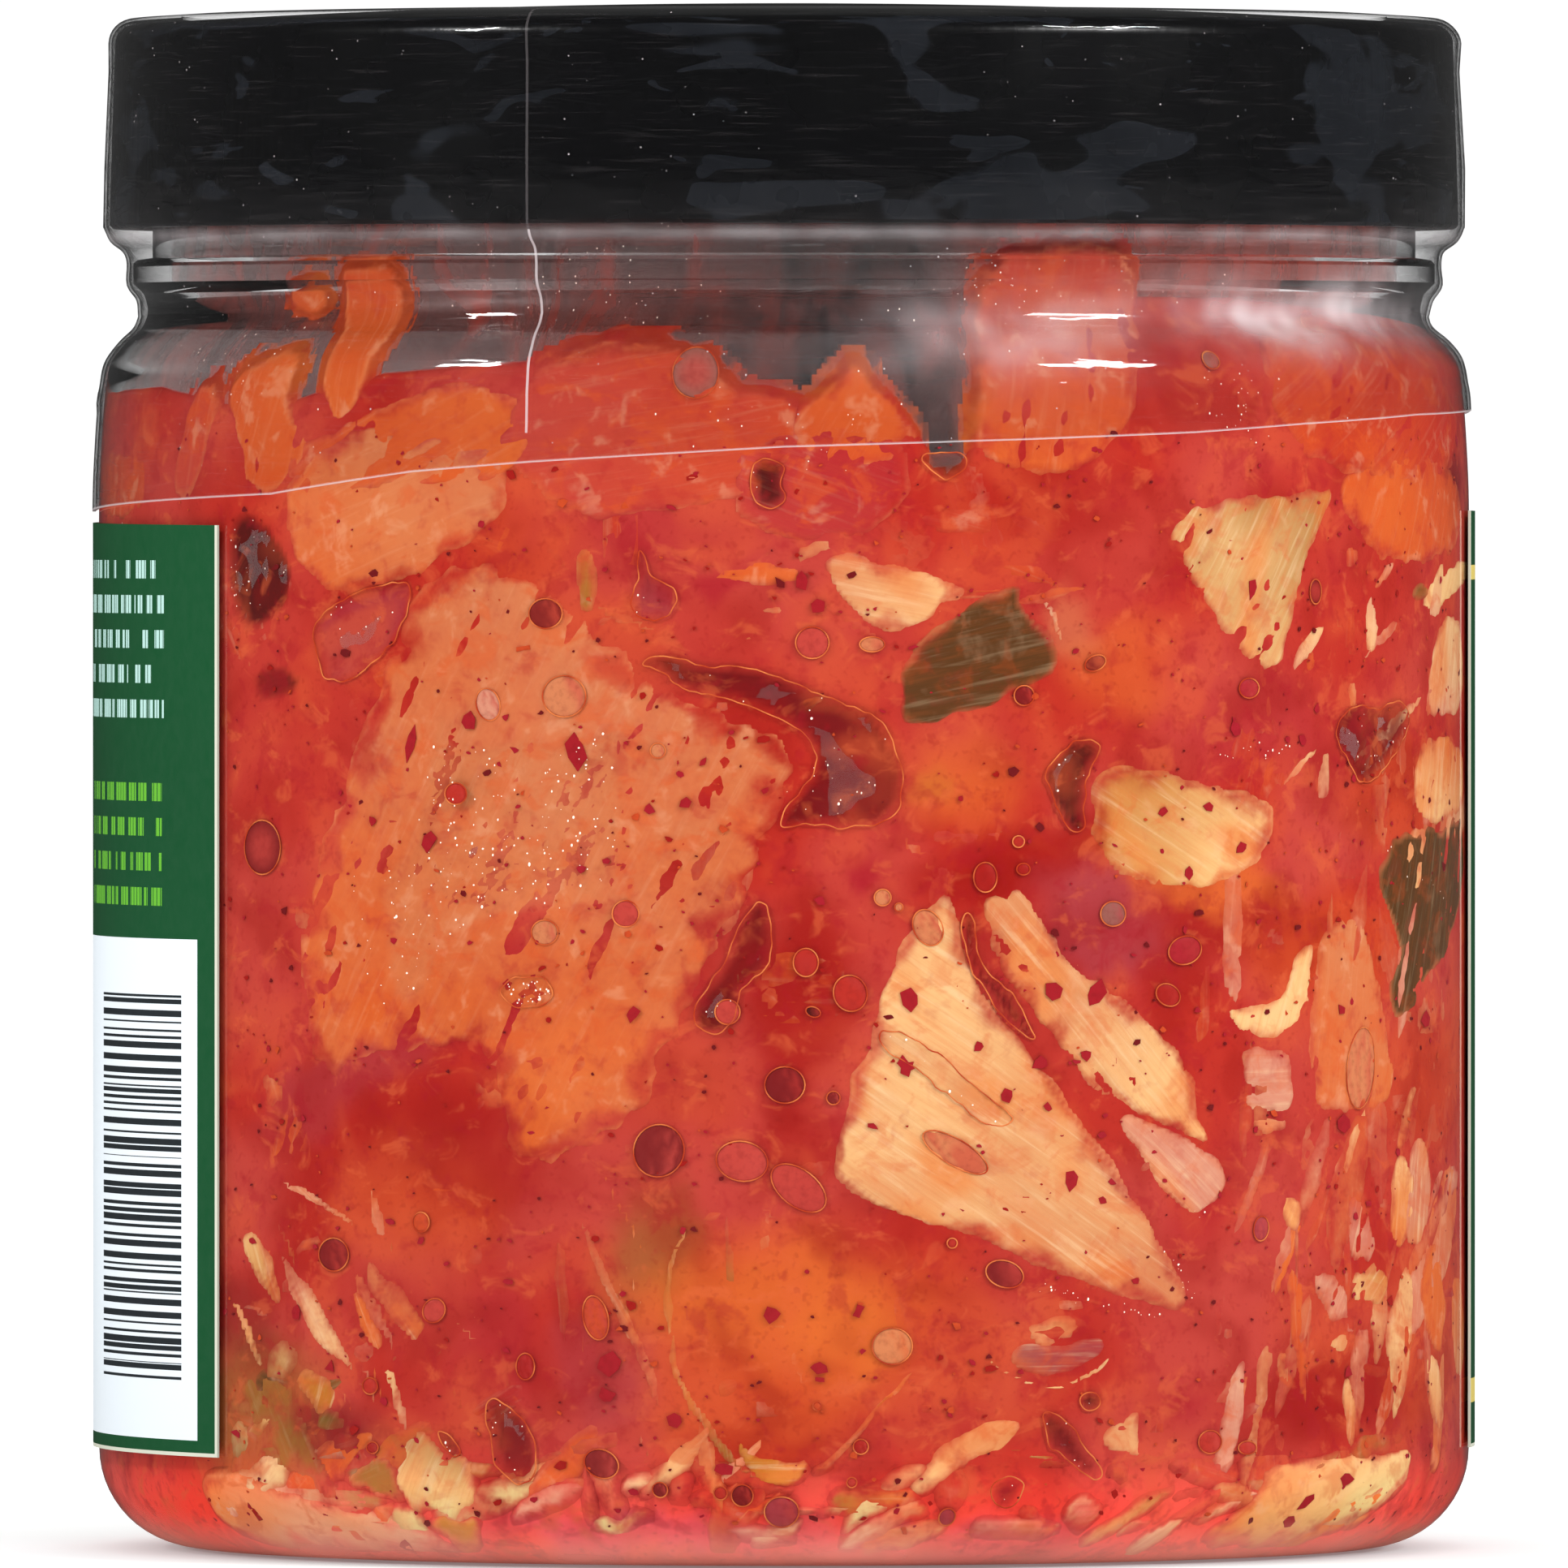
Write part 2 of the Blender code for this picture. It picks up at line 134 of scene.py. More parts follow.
def mixed(first: np.ndarray, second: np.ndarray, share: np.ndarray) -> np.ndarray:
    """Rows of colour carried from the first to the second, each by its share."""
    return first * (1.0 - share[:, None]) + second * share[:, None]


def with_third(places: np.ndarray, third: float = 0.0) -> np.ndarray:
    """Places with the same third part to each, as the noise wants them."""
    return np.column_stack([places, np.full(len(places), third)])


def along_across(offset: np.ndarray, degrees: float) -> tuple[np.ndarray, np.ndarray]:
    """Offsets along and across a line that leans that far up from level."""
    turn = math.radians(degrees)
    return (offset[:, 0] * math.cos(turn) + offset[:, 1] * math.sin(turn),
            offset[:, 1] * math.cos(turn) - offset[:, 0] * math.sin(turn))


def arc_points(centre: tuple[float, float], radius: float, start: float, end: float, count: int) -> Path:
    """Points on an arc in the (radius, height) plane, with its angles in degrees."""
    angles = [math.radians(start + (end - start) * k / count) for k in range(count + 1)]
    return [(centre[0] + radius * math.cos(a), centre[1] + radius * math.sin(a)) for a in angles]


def rounded(points: Path, steps: int) -> Path:
    """A smooth curve through the points, with `steps` pieces to each stretch."""
    curve = [points[0]]
    for k in range(len(points) - 1):
        knots = [Vector(points[min(max(k + j, 0), len(points) - 1)]) for j in (-1, 0, 1, 2)]
        for step in range(1, steps + 1):
            t = step / steps
            a, b, c, d = knots
            at = 0.5 * (2 * b + (c - a) * t + (2 * a - 5 * b + 4 * c - d) * t * t
                        + (3 * b - a - 3 * c + d) * t * t * t)
            curve.append((at.x, at.y))
    return curve


@dataclass(frozen=True)
class PhotoView:
    """The photograph's camera, and where its pixels fall on the jar."""

    frame: int = 1932
    axis_x: float = 966.0
    horizon_y: float = 620.0
    eye_height: float = 86.3
    distance: float = 2400.0
    pixels_per_mm: float = 14.87
    sensor: float = 36.0

    def unrolled(self, pixels: Pixels, radius: float = 56.75) -> np.ndarray:
        """Pixels as (arc, height) on a wall of that radius.

        Args:
            pixels: Places in the photograph.
            radius: Radius of the wall that they lie on.

        Returns:
            One row for each pixel, in millimetres.
        """
        at = np.asarray(pixels, float)
        scale = self.pixels_per_mm
        turn = np.zeros(len(at))
        for _ in range(4):
            nearer = self.distance / (self.distance - radius * np.cos(turn))
            side = (at[:, 0] - self.axis_x) / (scale * nearer * radius)
            turn = np.arcsin(np.clip(side, -0.999, 0.999))
        height = self.eye_height + (self.horizon_y - at[:, 1]) / (scale * nearer)
        return np.column_stack([turn * ARC_RADIUS, height])

    def spread(self, at: Sequence[float], size: Sequence[float],
               least: float) -> tuple[np.ndarray, np.ndarray]:
        """Where a thing lies on the wall, and how far it reaches.

        Args:
            at: Its middle, in pixels.
            size: Half its width and height, in pixels.
            least: The least that its width is divided by where the wall turns away.

        Returns:
            Its middle as (arc, height), and half its width and height in millimetres.
        """
        middle = self.unrolled([at])[0]
        half = np.array(size) / self.pixels_per_mm
        half[0] /= max(least, math.cos(middle[0] / ARC_RADIUS))
        return middle, half

    def add_camera(self) -> bpy.types.Object:
        """The camera that sees the jar as the photograph does."""
        data = bpy.data.cameras.new("photo_camera")
        width = self.frame / self.pixels_per_mm
        data.sensor_width = self.sensor
        data.lens = self.sensor * self.distance / width
        data.clip_end = 20.0
        camera = bpy.data.objects.new("photo_camera", data)
        aim = self.eye_height + (self.horizon_y - self.frame / 2) / self.pixels_per_mm
        camera.location = (0.0, -self.distance * MM, self.eye_height * MM)
        look = Vector((0.0, 0.0, aim * MM)) - camera.location
        camera.rotation_euler = look.to_track_quat("-Z", "Y").to_euler()
        bpy.context.scene.collection.objects.link(camera)
        bpy.context.scene.camera = camera
        return camera


VIEW = PhotoView()


class Sock:
    """A shader value with arithmetic, each operation adding its Math node."""

    def __init__(self, graph: "Graph", output: bpy.types.NodeSocket) -> None:
        """Holds an output of a graph's node."""
        self.graph = graph
        self.output = output

    def _math(self, operation: str, *values: Any) -> "Sock":
        """A Math node over the given values."""
        return self.graph.node("ShaderNodeMath", {"operation": operation}, dict(enumerate(values)))

    def __add__(self, other: Any) -> "Sock":
        """This value plus another."""
        return self._math("ADD", self, other)

    def __sub__(self, other: Any) -> "Sock":
        """This value less another."""
        return self._math("SUBTRACT", self, other)

    def __rsub__(self, other: Any) -> "Sock":
        """Another value less this one."""
        return self._math("SUBTRACT", other, self)

    def __mul__(self, other: Any) -> "Sock":
        """This value times another."""
        return self._math("MULTIPLY", self, other)

    def __truediv__(self, other: Any) -> "Sock":
        """This value over another."""
        return self._math("DIVIDE", self, other)

    def __lt__(self, other: Any) -> "Sock":
        """1 where this value is below another, else 0."""
        return self._math("LESS_THAN", self, other)

    def __gt__(self, other: Any) -> "Sock":
        """1 where this value is above another, else 0."""
        return self._math("GREATER_THAN", self, other)

    __radd__ = __add__
    __rmul__ = __mul__

    def least(self, other: Any) -> "Sock":
        """The smaller of this value and another."""
        return self._math("MINIMUM", self, other)

    def fraction(self) -> "Sock":
        """What is left of this value past its whole number."""
        return self._math("FRACT", self)

    def whole(self) -> "Sock":
        """This value's whole number."""
        return self._math("FLOOR", self)

    def size(self) -> "Sock":
        """This value without its sign."""
        return self._math("ABSOLUTE", self)

    def step(self, low: float, high: float) -> "Sock":
        """A smooth step from 0 at `low` to 1 at `high`."""
        return self.graph.node("ShaderNodeMapRange", {"interpolation_type": "SMOOTHSTEP"},
                               {"Value": self, "From Min": low, "From Max": high})


class Graph:
    """A material's node tree, built from calls and expressions."""

    def __init__(self, name: str) -> None:
        """Makes an empty material of that name."""
        self.material = bpy.data.materials.new(name)
        self.material.use_nodes = True
        self.tree = self.material.node_tree
        self.tree.nodes.clear()

    def node(self, kind: str, settings: dict[str, Any] | None = None,
             inputs: dict[Any, Any] | None = None, output: Any = 0) -> Sock:
        """Adds a node.

        Args:
            kind: The node's type.
            settings: Its settings, set before its inputs.
            inputs: Values or links for its sockets, by name or by number.
            output: Name or number of the output to return.

        Returns:
            That output.
        """
        made = self.tree.nodes.new(kind)
        for name, value in (settings or {}).items():
            setattr(made, name, value)
        for name, value in (inputs or {}).items():
            socket = made.inputs[name]
            if isinstance(value, Sock):
                self.tree.links.new(value.output, socket)
            elif isinstance(value, (tuple, list, np.ndarray)) and socket.type == "RGBA":
                socket.default_value = (*value[:3], 1.0)
            else:
                socket.default_value = value
        return Sock(self, made.outputs[output])

    def place(self) -> Sock:
        """The surface's place in object coordinates, in metres."""
        return self.node("ShaderNodeTexCoord", output="Object")

    def attribute(self, name: str, output: str = "Color") -> Sock:
        """A mesh attribute."""
        return self.node("ShaderNodeAttribute", {"attribute_name": name}, output=output)

    def scaled(self, vector: Sock, scale: tuple[float, float, float]) -> Sock:
        """A vector with its parts scaled."""
        return self.node("ShaderNodeVectorMath", {"operation": "MULTIPLY"}, {0: vector, 1: scale})

    def noise(self, vector: Sock, scale: float, detail: float = 3.0, roughness: float = 0.5,
              warp: float = 0.0) -> Sock:
        """A noise value from 0 to 1."""
        return self.node("ShaderNodeTexNoise", None, {"Vector": vector, "Scale": scale, "Detail": detail,
                                                      "Roughness": roughness, "Distortion": warp})

    def cells(self, vector: Sock, scale: float) -> Sock:
        """The distance to the nearest of scattered points."""
        return self.node("ShaderNodeTexVoronoi", None, {"Vector": vector, "Scale": scale}, "Distance")

    def parts(self, vector: Sock) -> tuple[Sock, Sock, Sock]:
        """A vector's x, y and z."""
        split = self.node("ShaderNodeSeparateXYZ", None, {0: vector})
        outputs = split.output.node.outputs
        return Sock(self, outputs[0]), Sock(self, outputs[1]), Sock(self, outputs[2])

    def mix(self, share: Any, first: Any, second: Any) -> Sock:
        """Two colours mixed."""
        return self.node("ShaderNodeMix", {"data_type": "RGBA"}, {0: share, 6: first, 7: second}, 2)

    def layered(self, base: Any, *layers: tuple[Any, Sequence[float]]) -> Sock:
        """A colour with 8-bit sRGB colours laid over it in turn, each by its share."""
        for share, colour in layers:
            base = self.mix(share, base, linear(colour))
        return base

    def bump(self, height: Sock, strength: float, distance: float) -> Sock:
        """A normal bent by a height, with `distance` in metres."""
        return self.node("ShaderNodeBump", None, {"Height": height, "Strength": strength,
                                                  "Distance": distance})

    def principled(self, **inputs: Any) -> Sock:
        """A Principled BSDF; underscores in names stand for spaces."""
        return self.node("ShaderNodeBsdfPrincipled", None,
                         {name.replace("_", " "): value for name, value in inputs.items()})

    def blend(self, share: Any, first: Sock, second: Sock) -> Sock:
        """Two shaders mixed."""
        return self.node("ShaderNodeMixShader", None, {0: share, 1: first, 2: second})

    def clear(self, colour: Sequence[float] = (1.0, 1.0, 1.0)) -> Sock:
        """A Transparent BSDF."""
        return self.node("ShaderNodeBsdfTransparent", None, {"Color": colour})

    def off_top(self, height: Sock) -> Sock:
        """1 on the cap's side and little on its top, for marks that belong to the side."""
        return 1.0 - height.step(125.4, 126.8) * 0.9

    def passing_ray(self) -> Sock:
        """1 on a ray towards a lamp or one that leaves a matt surface, else 0."""
        return (self.node("ShaderNodeLightPath", output="Is Shadow Ray")
                + self.node("ShaderNodeLightPath", output="Is Diffuse Ray"))

    def finish(self, shader: Sock) -> bpy.types.Material:
        """Ends the tree with this shader and returns its material."""
        end = self.tree.nodes.new("ShaderNodeOutputMaterial")
        self.tree.links.new(shader.output, end.inputs["Surface"])
        return self.material


@dataclass(frozen=True)
class ClearPlastic:
    """The jar's clear moulded plastic, with painted light in the thick corner of its base: a pale pink
    glowing layer.
    """

    roughness: float = 0.0
    ior: float = 1.5
    base_glow_from: float = 0.0004
    base_glow_top: float = 0.005
    base_glow: float = 0.3
    passed: float = 0.8

    def material(self) -> bpy.types.Material:
        """Clear plastic that lets the lamps through."""
        graph = Graph("clear_plastic")
        place = graph.place()
        _, _, height = graph.parts(place)
        glass = graph.principled(Base_Color=(1.0, 1.0, 1.0), Roughness=self.roughness, IOR=self.ior,
                                 Transmission_Weight=1.0)
        # Painted light: a pale pink layer that glows, low in the base corner, standing for light passing
        # through the thick plastic.
        pale_layer = graph.principled(Base_Color=linear((250, 170, 152)), Roughness=0.25,
                                Emission_Color=linear((255, 140, 120)), Emission_Strength=self.base_glow)
        low = 1.0 - height.step(self.base_glow_from, self.base_glow_top)
        cloud = graph.noise(graph.scaled(place, (1.0, 1.0, 2.0)), 70.0, 1.0).step(0.2, 0.9)
        body = graph.blend(low * low * (cloud * 0.3 + 0.3), glass, pale_layer)
        return graph.finish(graph.blend(graph.passing_ray(), body, graph.clear((self.passed,) * 3)))


@dataclass(frozen=True)
class BlackPlastic:
    """The cap's glossy black plastic, with blue-grey blotches painted on as reflections in the film where it
    doesn't touch it.
    """

    roughness: float = 0.22

    def material(self) -> bpy.types.Material:
        """Black plastic with blue-grey painted reflections, ripples and dust."""
        graph = Graph("black_plastic")
        place = graph.place()
        turned = graph.attribute("unrolled", "Vector")
        _, _, height = graph.parts(turned)
        side = graph.off_top(height)
        # Painted reflection: blue-grey islands on the cap's side, standing for the soft lamps seen in the
        # loose film.
        warped = graph.noise(graph.scaled(turned, (0.055, 1.0, 0.12)), 1.0, 2.0, 0.45, 0.6)
        painted_reflections = warped.step(0.555, 0.575) + graph.noise(graph.scaled(turned, (0.11, 1.0, 0.3)), 1.0, 2.0,
                                                          0.5, 0.9).step(0.64, 0.655)
        cloud = graph.noise(place, 90.0, 4.0).step(0.3, 0.8)
        specks = graph.cells(place, 620.0) < 0.055
        dust = graph.noise(place, 150.0, 2.0).step(0.55, 0.7) * specks
        share = painted_reflections.least(1.0) * (cloud * 0.6 + 0.4) * side
        base = graph.layered(linear((7, 7, 9)), (share, (31, 34, 40)), (dust * 0.5, (120, 122, 126)))
        ripple = graph.noise(graph.scaled(turned, (0.4, 1.0, 0.03)), 1.0, 3.0)
        return graph.finish(graph.principled(
            Base_Color=base, Roughness=cloud * 0.15 + self.roughness, Specular_IOR_Level=0.3,
            Normal=graph.bump(ripple * side, 0.15, 0.0006)))


@dataclass(frozen=True)
class ClearFilm:
    """The shrink sleeve: shiny clear film with wrinkles, scratches and a seam."""

    seam_arc: float = -21.2
    seam_width: float = 0.11
    edge_shown: tuple[float, float] = (0.05, 0.22)

    def material(self) -> bpy.types.Material:
        """Film that shines by Fresnel and hazes in clouds."""
        graph = Graph("clear_film")
        place = graph.place()
        unrolled = graph.attribute("unrolled", "Vector")
        marks = graph.node("ShaderNodeSeparateColor", None, {0: graph.attribute("film_marks")})
        outputs = marks.output.node.outputs
        haze, above = Sock(graph, outputs[0]), Sock(graph, outputs[1])
        arc, _, height = graph.parts(unrolled)
        seam = ((arc - self.seam_arc + (height - 110.0) * 0.012).size() < self.seam_width) * (height > 92.0)
        seam = seam * (0.34 - (height > 108.5) * 0.3)
        line = (1.0 - above.step(*self.edge_shown)) * 0.32 + seam
        folds = graph.noise(graph.scaled(unrolled, (0.09, 1.0, 0.5)), 1.0, 2.0, 0.55, 1.2)
        scratch = graph.noise(graph.scaled(unrolled, (0.15, 1.0, 6.0)), 1.0, 1.0).step(0.62, 0.68)
        normal = graph.bump(folds * graph.off_top(height), 0.18, 0.0008)
        fresnel = graph.node("ShaderNodeFresnel", None, {"IOR": 1.5, "Normal": normal})
        inner = graph.node("ShaderNodeNewGeometry", output="Backfacing")
        shine = graph.principled(Base_Color=(1.0, 1.0, 1.0), Metallic=1.0, Roughness=0.07, Normal=normal)
        pale_layer = graph.principled(Base_Color=linear((228, 216, 218)), Roughness=0.35)
        cloud = graph.noise(place, 210.0, 1.0, 0.65).step(0.25, 0.8)
        specks = (graph.cells(place, 900.0) < 0.07) * graph.noise(place, 260.0, 1.0).step(0.5, 0.7)
        white = (haze * (cloud * 1.1 + 0.5) + line * 1.5 + specks * 0.6 + scratch * 0.01).least(0.9)
        film = graph.blend(fresnel * 1.3, graph.clear((0.985, 0.985, 0.985)), shine)
        film = graph.blend(white, film, pale_layer)
        plain = (graph.passing_ray() + inner).least(1.0)
        return graph.finish(graph.blend(plain, film, graph.clear((0.97, 0.97, 0.97))))


@dataclass(frozen=True)
class PrintedPaper:
    """The label: coated green paper with plain blocks of print and a pale cut edge."""

    green: tuple[int, int, int] = (12, 80, 42)
    edge: float = 0.35
    row_pitch: float = 2.86
    panel_top: float = 50.6
    panel_low: float = 9.6
    panel_from: float = 2.9
    panel_to: float = 46.0
    words: tuple[float, float, float, float] = (68.0, 82.4, 8.4, 33.0)
    lime_words: tuple[float, float, float, float] = (52.6, 64.0, 8.8, 30.0)
    gold: tuple[int, int, int] = (212, 190, 96)
    oval_middle: float = 48.0
    oval_size: tuple[float, float] = (40.0, 24.0)
    oval_rim: float = 0.93

    def rows(self, graph: Graph, across: Sock, up: Sock, band: tuple[float, float, float, float],
             seed: float) -> Sock:
        """Rows of short dashes within a band of the label.

        Args:
            graph: The label's node tree.
            across: Distance from the label's left end, in millimetres.
            up: Height, in millimetres.
            band: Lowest and highest height, and first and last distance of the rows.
            seed: Sets the lengths of the dashes.

        Returns:
            1 on a dash and 0 between dashes.
        """
        low, high, start, end = band
        row = ((up - low) / self.row_pitch).whole()
        within = ((up - low) / self.row_pitch).fraction()
        word = graph.node("ShaderNodeTexNoise", {"noise_dimensions": "2D"},
                          {"Vector": graph.node("ShaderNodeCombineXYZ", None,
                                                {0: across * 0.85, 1: row * 17.3 + seed}),
                           "Scale": 1.0, "Detail": 0.0})
        stroke = (across * 1.45 + row * 0.37).fraction()
        ink = (within > 0.24) * (within < 0.76) * (word < 0.56) * (stroke > 0.2)
        inside = (up > low) * (up < high) * (across > start) * (across < end)
        return ink * inside

    def material(self) -> bpy.types.Material:
        """Satin paper with its printed blocks."""
        graph = Graph("green_label")
        place = graph.place()
        across, _, up = graph.parts(graph.attribute("unrolled_label", "Vector"))
        length = Label.length()
        grain = graph.noise(place, 900.0, 3.0, 0.6)
        cloud = graph.noise(place, 40.0, 3.0)
        words = self.rows(graph, across, up, self.words, 3.0)
        lime = self.rows(graph, across, up, self.lime_words, 9.0)
        panel = (up > self.panel_low) * (up < self.panel_top) * (across > self.panel_from)
        panel = panel * (across < self.panel_to)
        bar = graph.node("ShaderNodeTexNoise", {"noise_dimensions": "1D"},
                         {"W": up * 1.9 + 5.0, "Scale": 1.0, "Detail": 0.0})
        bars = (bar > 0.5) * (up > 14.5) * (up < 46.0) * (across > 5.4) * (across < 24.0)
        side = (across - length * 0.56).size() / self.oval_size[0]
        rise = (up - self.oval_middle) / self.oval_size[1]
        oval = side * side + rise * rise
        stripe = (up > 12.0) * (up < 14.0) + (up > 80.0) * (up < 81.2)
        rim = (across < self.edge) + (across > length - self.edge) + (up < Label.low + 0.3)
        base = graph.layered(
            linear(self.green), (cloud * 0.5, (8, 70, 36)), (words, (176, 214, 206)), (lime, (98, 178, 44)),
            (panel, (226, 234, 240)), (panel * bars, (34, 40, 44)),
            ((oval < 1.0) * (oval > self.oval_rim), self.gold), (oval < self.oval_rim, (176, 36, 30)),
            (stripe * (across > 50.0), self.gold), (rim.least(1.0), (206, 208, 190)),
            (grain * 0.012, (255, 255, 255)))
        return graph.finish(graph.principled(Base_Color=base, Roughness=cloud * 0.1 + 0.36,
                                             Specular_IOR_Level=0.12, Normal=graph.bump(grain, 0.12, 0.0001)))


@dataclass(frozen=True)
class Filling:
    """Sauce, and cuts seen through a veil of it, from the colours held in the mesh."""

    name: str
    fibre: float = 0.0
    grit: float = 0.25
    roughness: float = 0.5
    gloss: float = 0.03

    def material(self) -> bpy.types.Material:
        """Wet food whose own colour fades into the sauce."""
        graph = Graph(self.name)
        place = graph.place()
        own, sauce = graph.attribute("own"), graph.attribute("sauce")
        cover = graph.attribute("cover", "Fac")
        grain = graph.attribute("grain", "Vector")
        broad = graph.noise(place, 120.0, 2.0, 0.55, 0.5)
        mid = graph.noise(place, 360.0, 3.0, 0.6, 0.3)
        other = graph.noise(graph.scaled(place, (1.0, -1.0, 1.3)), 300.0, 3.0, 0.62, 0.6)
        fine = graph.noise(place, 1500.0, 1.0, 0.6)
        sauce = graph.layered(
            sauce, (broad.step(0.48, 0.7) * 0.45, (150, 16, 14)),
            ((1.0 - broad).step(0.5, 0.72) * 0.4, (222, 92, 52)), (mid.step(0.52, 0.68) * 0.4, (166, 20, 36)),
            (other.step(0.54, 0.7) * 0.38, (226, 104, 60)), (fine.step(0.56, 0.75) * 0.22, (150, 14, 18)))
        if self.fibre:
            threads = graph.noise(graph.scaled(grain, (0.10, 1.0, 1.5)), 1.0, 3.0, 0.62, 0.3)
            hairs = graph.noise(graph.scaled(grain, (0.16, 1.0, 5.0)), 1.0, 2.0, 0.6, 0.2)
            own = graph.layered(
                own, (threads.step(0.48, 0.72) * 0.3 * self.fibre, (222, 112, 56)),
                ((1.0 - threads).step(0.5, 0.75) * 0.4 * self.fibre, (255, 224, 176)),
                (hairs.step(0.52, 0.7) * 0.13 * self.fibre, (204, 100, 62)))
        own = graph.layered(
            own, (other.step(0.5, 0.66) * 2.4 * self.grit, (218, 84, 30)),
            (mid.step(0.56, 0.7) * 1.6 * self.grit, (190, 40, 40)),
            ((1.0 - mid).step(0.56, 0.7) * 1.2 * self.grit, (246, 190, 150)))
        between = 1.0 - (cover * 2.0 - 1.0).size()
        veil = (cover + (mid - 0.5) * 0.9 * between + (fine - 0.5) * 0.25 * between).step(0.0, 1.0)
        base = graph.mix(veil, own, sauce)
        return graph.finish(graph.principled(
            Base_Color=base, Roughness=self.roughness, Specular_IOR_Level=self.gloss,
            Normal=graph.bump(fine, 0.3, 0.0002)))


@dataclass(frozen=True)
class Plain:
    """A small thing's finish: its mesh colour, slightly mottled, and glowing where a painted glow is set."""

    name: str
    roughness: float = 0.3
    gloss: float = 0.4
    # Emission strength: a painted glow, set for the glint beads.
    painted_glow: float = 0.0

    def material(self) -> bpy.types.Material:
        """The mesh's own colour with mottling."""
        graph = Graph(self.name)
        own = graph.attribute("own")
        mottle = graph.noise(graph.place(), 1800.0, 3.0)
        base = graph.mix(mottle.step(0.4, 0.8) * 0.3, own, linear((120, 12, 14)))
        # A painted glow: the plain mesh colour, emitting light.
        if self.painted_glow:
            base = own
        return graph.finish(graph.principled(
            Base_Color=base, Roughness=self.roughness, Specular_IOR_Level=self.gloss,
            Emission_Color=(1.0, 0.96, 0.92), Emission_Strength=self.painted_glow,
            Normal=graph.bump(mottle, 0.2, 0.0001)))


@dataclass(frozen=True)
class SauceSmear:
    """The thin brown-red coat that the sauce leaves inside the neck."""

    def material(self) -> bpy.types.Material:
        """Smears that are clear where the coat is thin."""
        graph = Graph("sauce_smear")
        place = graph.place()
        unrolled = graph.attribute("unrolled", "Vector")
        thick = graph.attribute("cover", "Fac")
        runs = graph.noise(graph.scaled(unrolled, (0.16, 1.0, 0.07)), 1.0, 4.0, 0.6, 1.0)
        drops = graph.noise(place, 300.0, 4.0, 0.6)
        share = (thick + (runs - 0.5) * 0.9 + (drops - 0.5) * 0.35).step(0.2, 0.95)
        base = graph.mix(runs.step(0.4, 0.7), linear((128, 84, 80)), linear((160, 56, 42)))
        base = graph.mix(graph.attribute("tone", "Fac"), base, linear((198, 60, 34)))
        coat = graph.principled(Base_Color=base, Roughness=0.3, Specular_IOR_Level=0.3,
                                Normal=graph.bump(drops, 0.3, 0.0003))
        return graph.finish(graph.blend(share, graph.clear(), coat))


@dataclass(frozen=True)
class JarShape:
    """The jar's sizes and the curves of its wall."""

    body_radius: float = 56.75
    wall: float = 1.2
    base_round: float = 8.15
    foot_inner: float = 45.0
    push_up_radius: float = 41.0
    push_up: float = 2.6
    side_top: float = 85.0
    groove_radius: float = 52.7
    groove_top: float = 103.6
    ledge_radius: float = 53.9
    ledge_low: float = 104.2
    ledge_high: float = 106.4
    neck_radius: float = 52.3
    neck_wall: float = 1.4
    lip: float = 123.7
    steps: int = 192

    def shoulder(self) -> Path:
        """The outside from the top of the straight side to the top of the groove."""
        knots = [(self.body_radius, self.side_top), (56.68, 88.5), (56.4, 93.5), (56.1, 96.4), (55.7, 98.0),
                 (54.5, 99.6), (53.2, 100.8), (self.groove_radius, 102.2),
                 (self.groove_radius + 0.3, self.groove_top)]
        return rounded(knots, 4)

    def outside(self) -> Path:
        """The outside from the foot's middle to the lip."""
        ring = self.body_radius - self.base_round
        points = [(0.0, self.push_up), (self.push_up_radius, self.push_up), (self.foot_inner, 0.0)]
        points += arc_points((ring, self.base_round), self.base_round, -90.0, 0.0, 14)
        points += self.shoulder()
        points += [(53.6, self.ledge_low), (self.ledge_radius, self.ledge_low + 0.3),
                   (self.ledge_radius, self.ledge_high - 0.3), (53.6, self.ledge_high),
                   (self.neck_radius, self.ledge_high + 0.2), (self.neck_radius, self.lip - 0.4),
                   (self.neck_radius - 0.4, self.lip)]
        return points

    def inside(self) -> Path:
        """The inside from the floor's edge to the neck."""
        ring = self.body_radius - self.base_round
        points = arc_points((ring, self.base_round), self.base_round - self.wall, -90.0, 0.0, 12)
        knots = [(self.body_radius - self.wall, self.side_top), (55.25, 93.5), (54.45, 97.6), (51.4, 101.6),
                 (self.neck_radius - self.neck_wall, 104.0)]
        return points + rounded(knots, 5)

    def inner_radius(self, height: np.ndarray) -> np.ndarray:
        """The inside's radius at each height."""
        path = self.inside()
        return np.interp(height, [z for _, z in path], [r for r, _ in path])

    def outer_radius(self, height: np.ndarray) -> np.ndarray:
        """The outside's radius at each height, up to the groove."""
        ring = self.body_radius - self.base_round
        path = arc_points((ring, self.base_round), self.base_round, -90.0, 0.0, 14) + self.shoulder()
        return np.interp(height, [z for _, z in path], [r for r, _ in path])


JAR = JarShape()


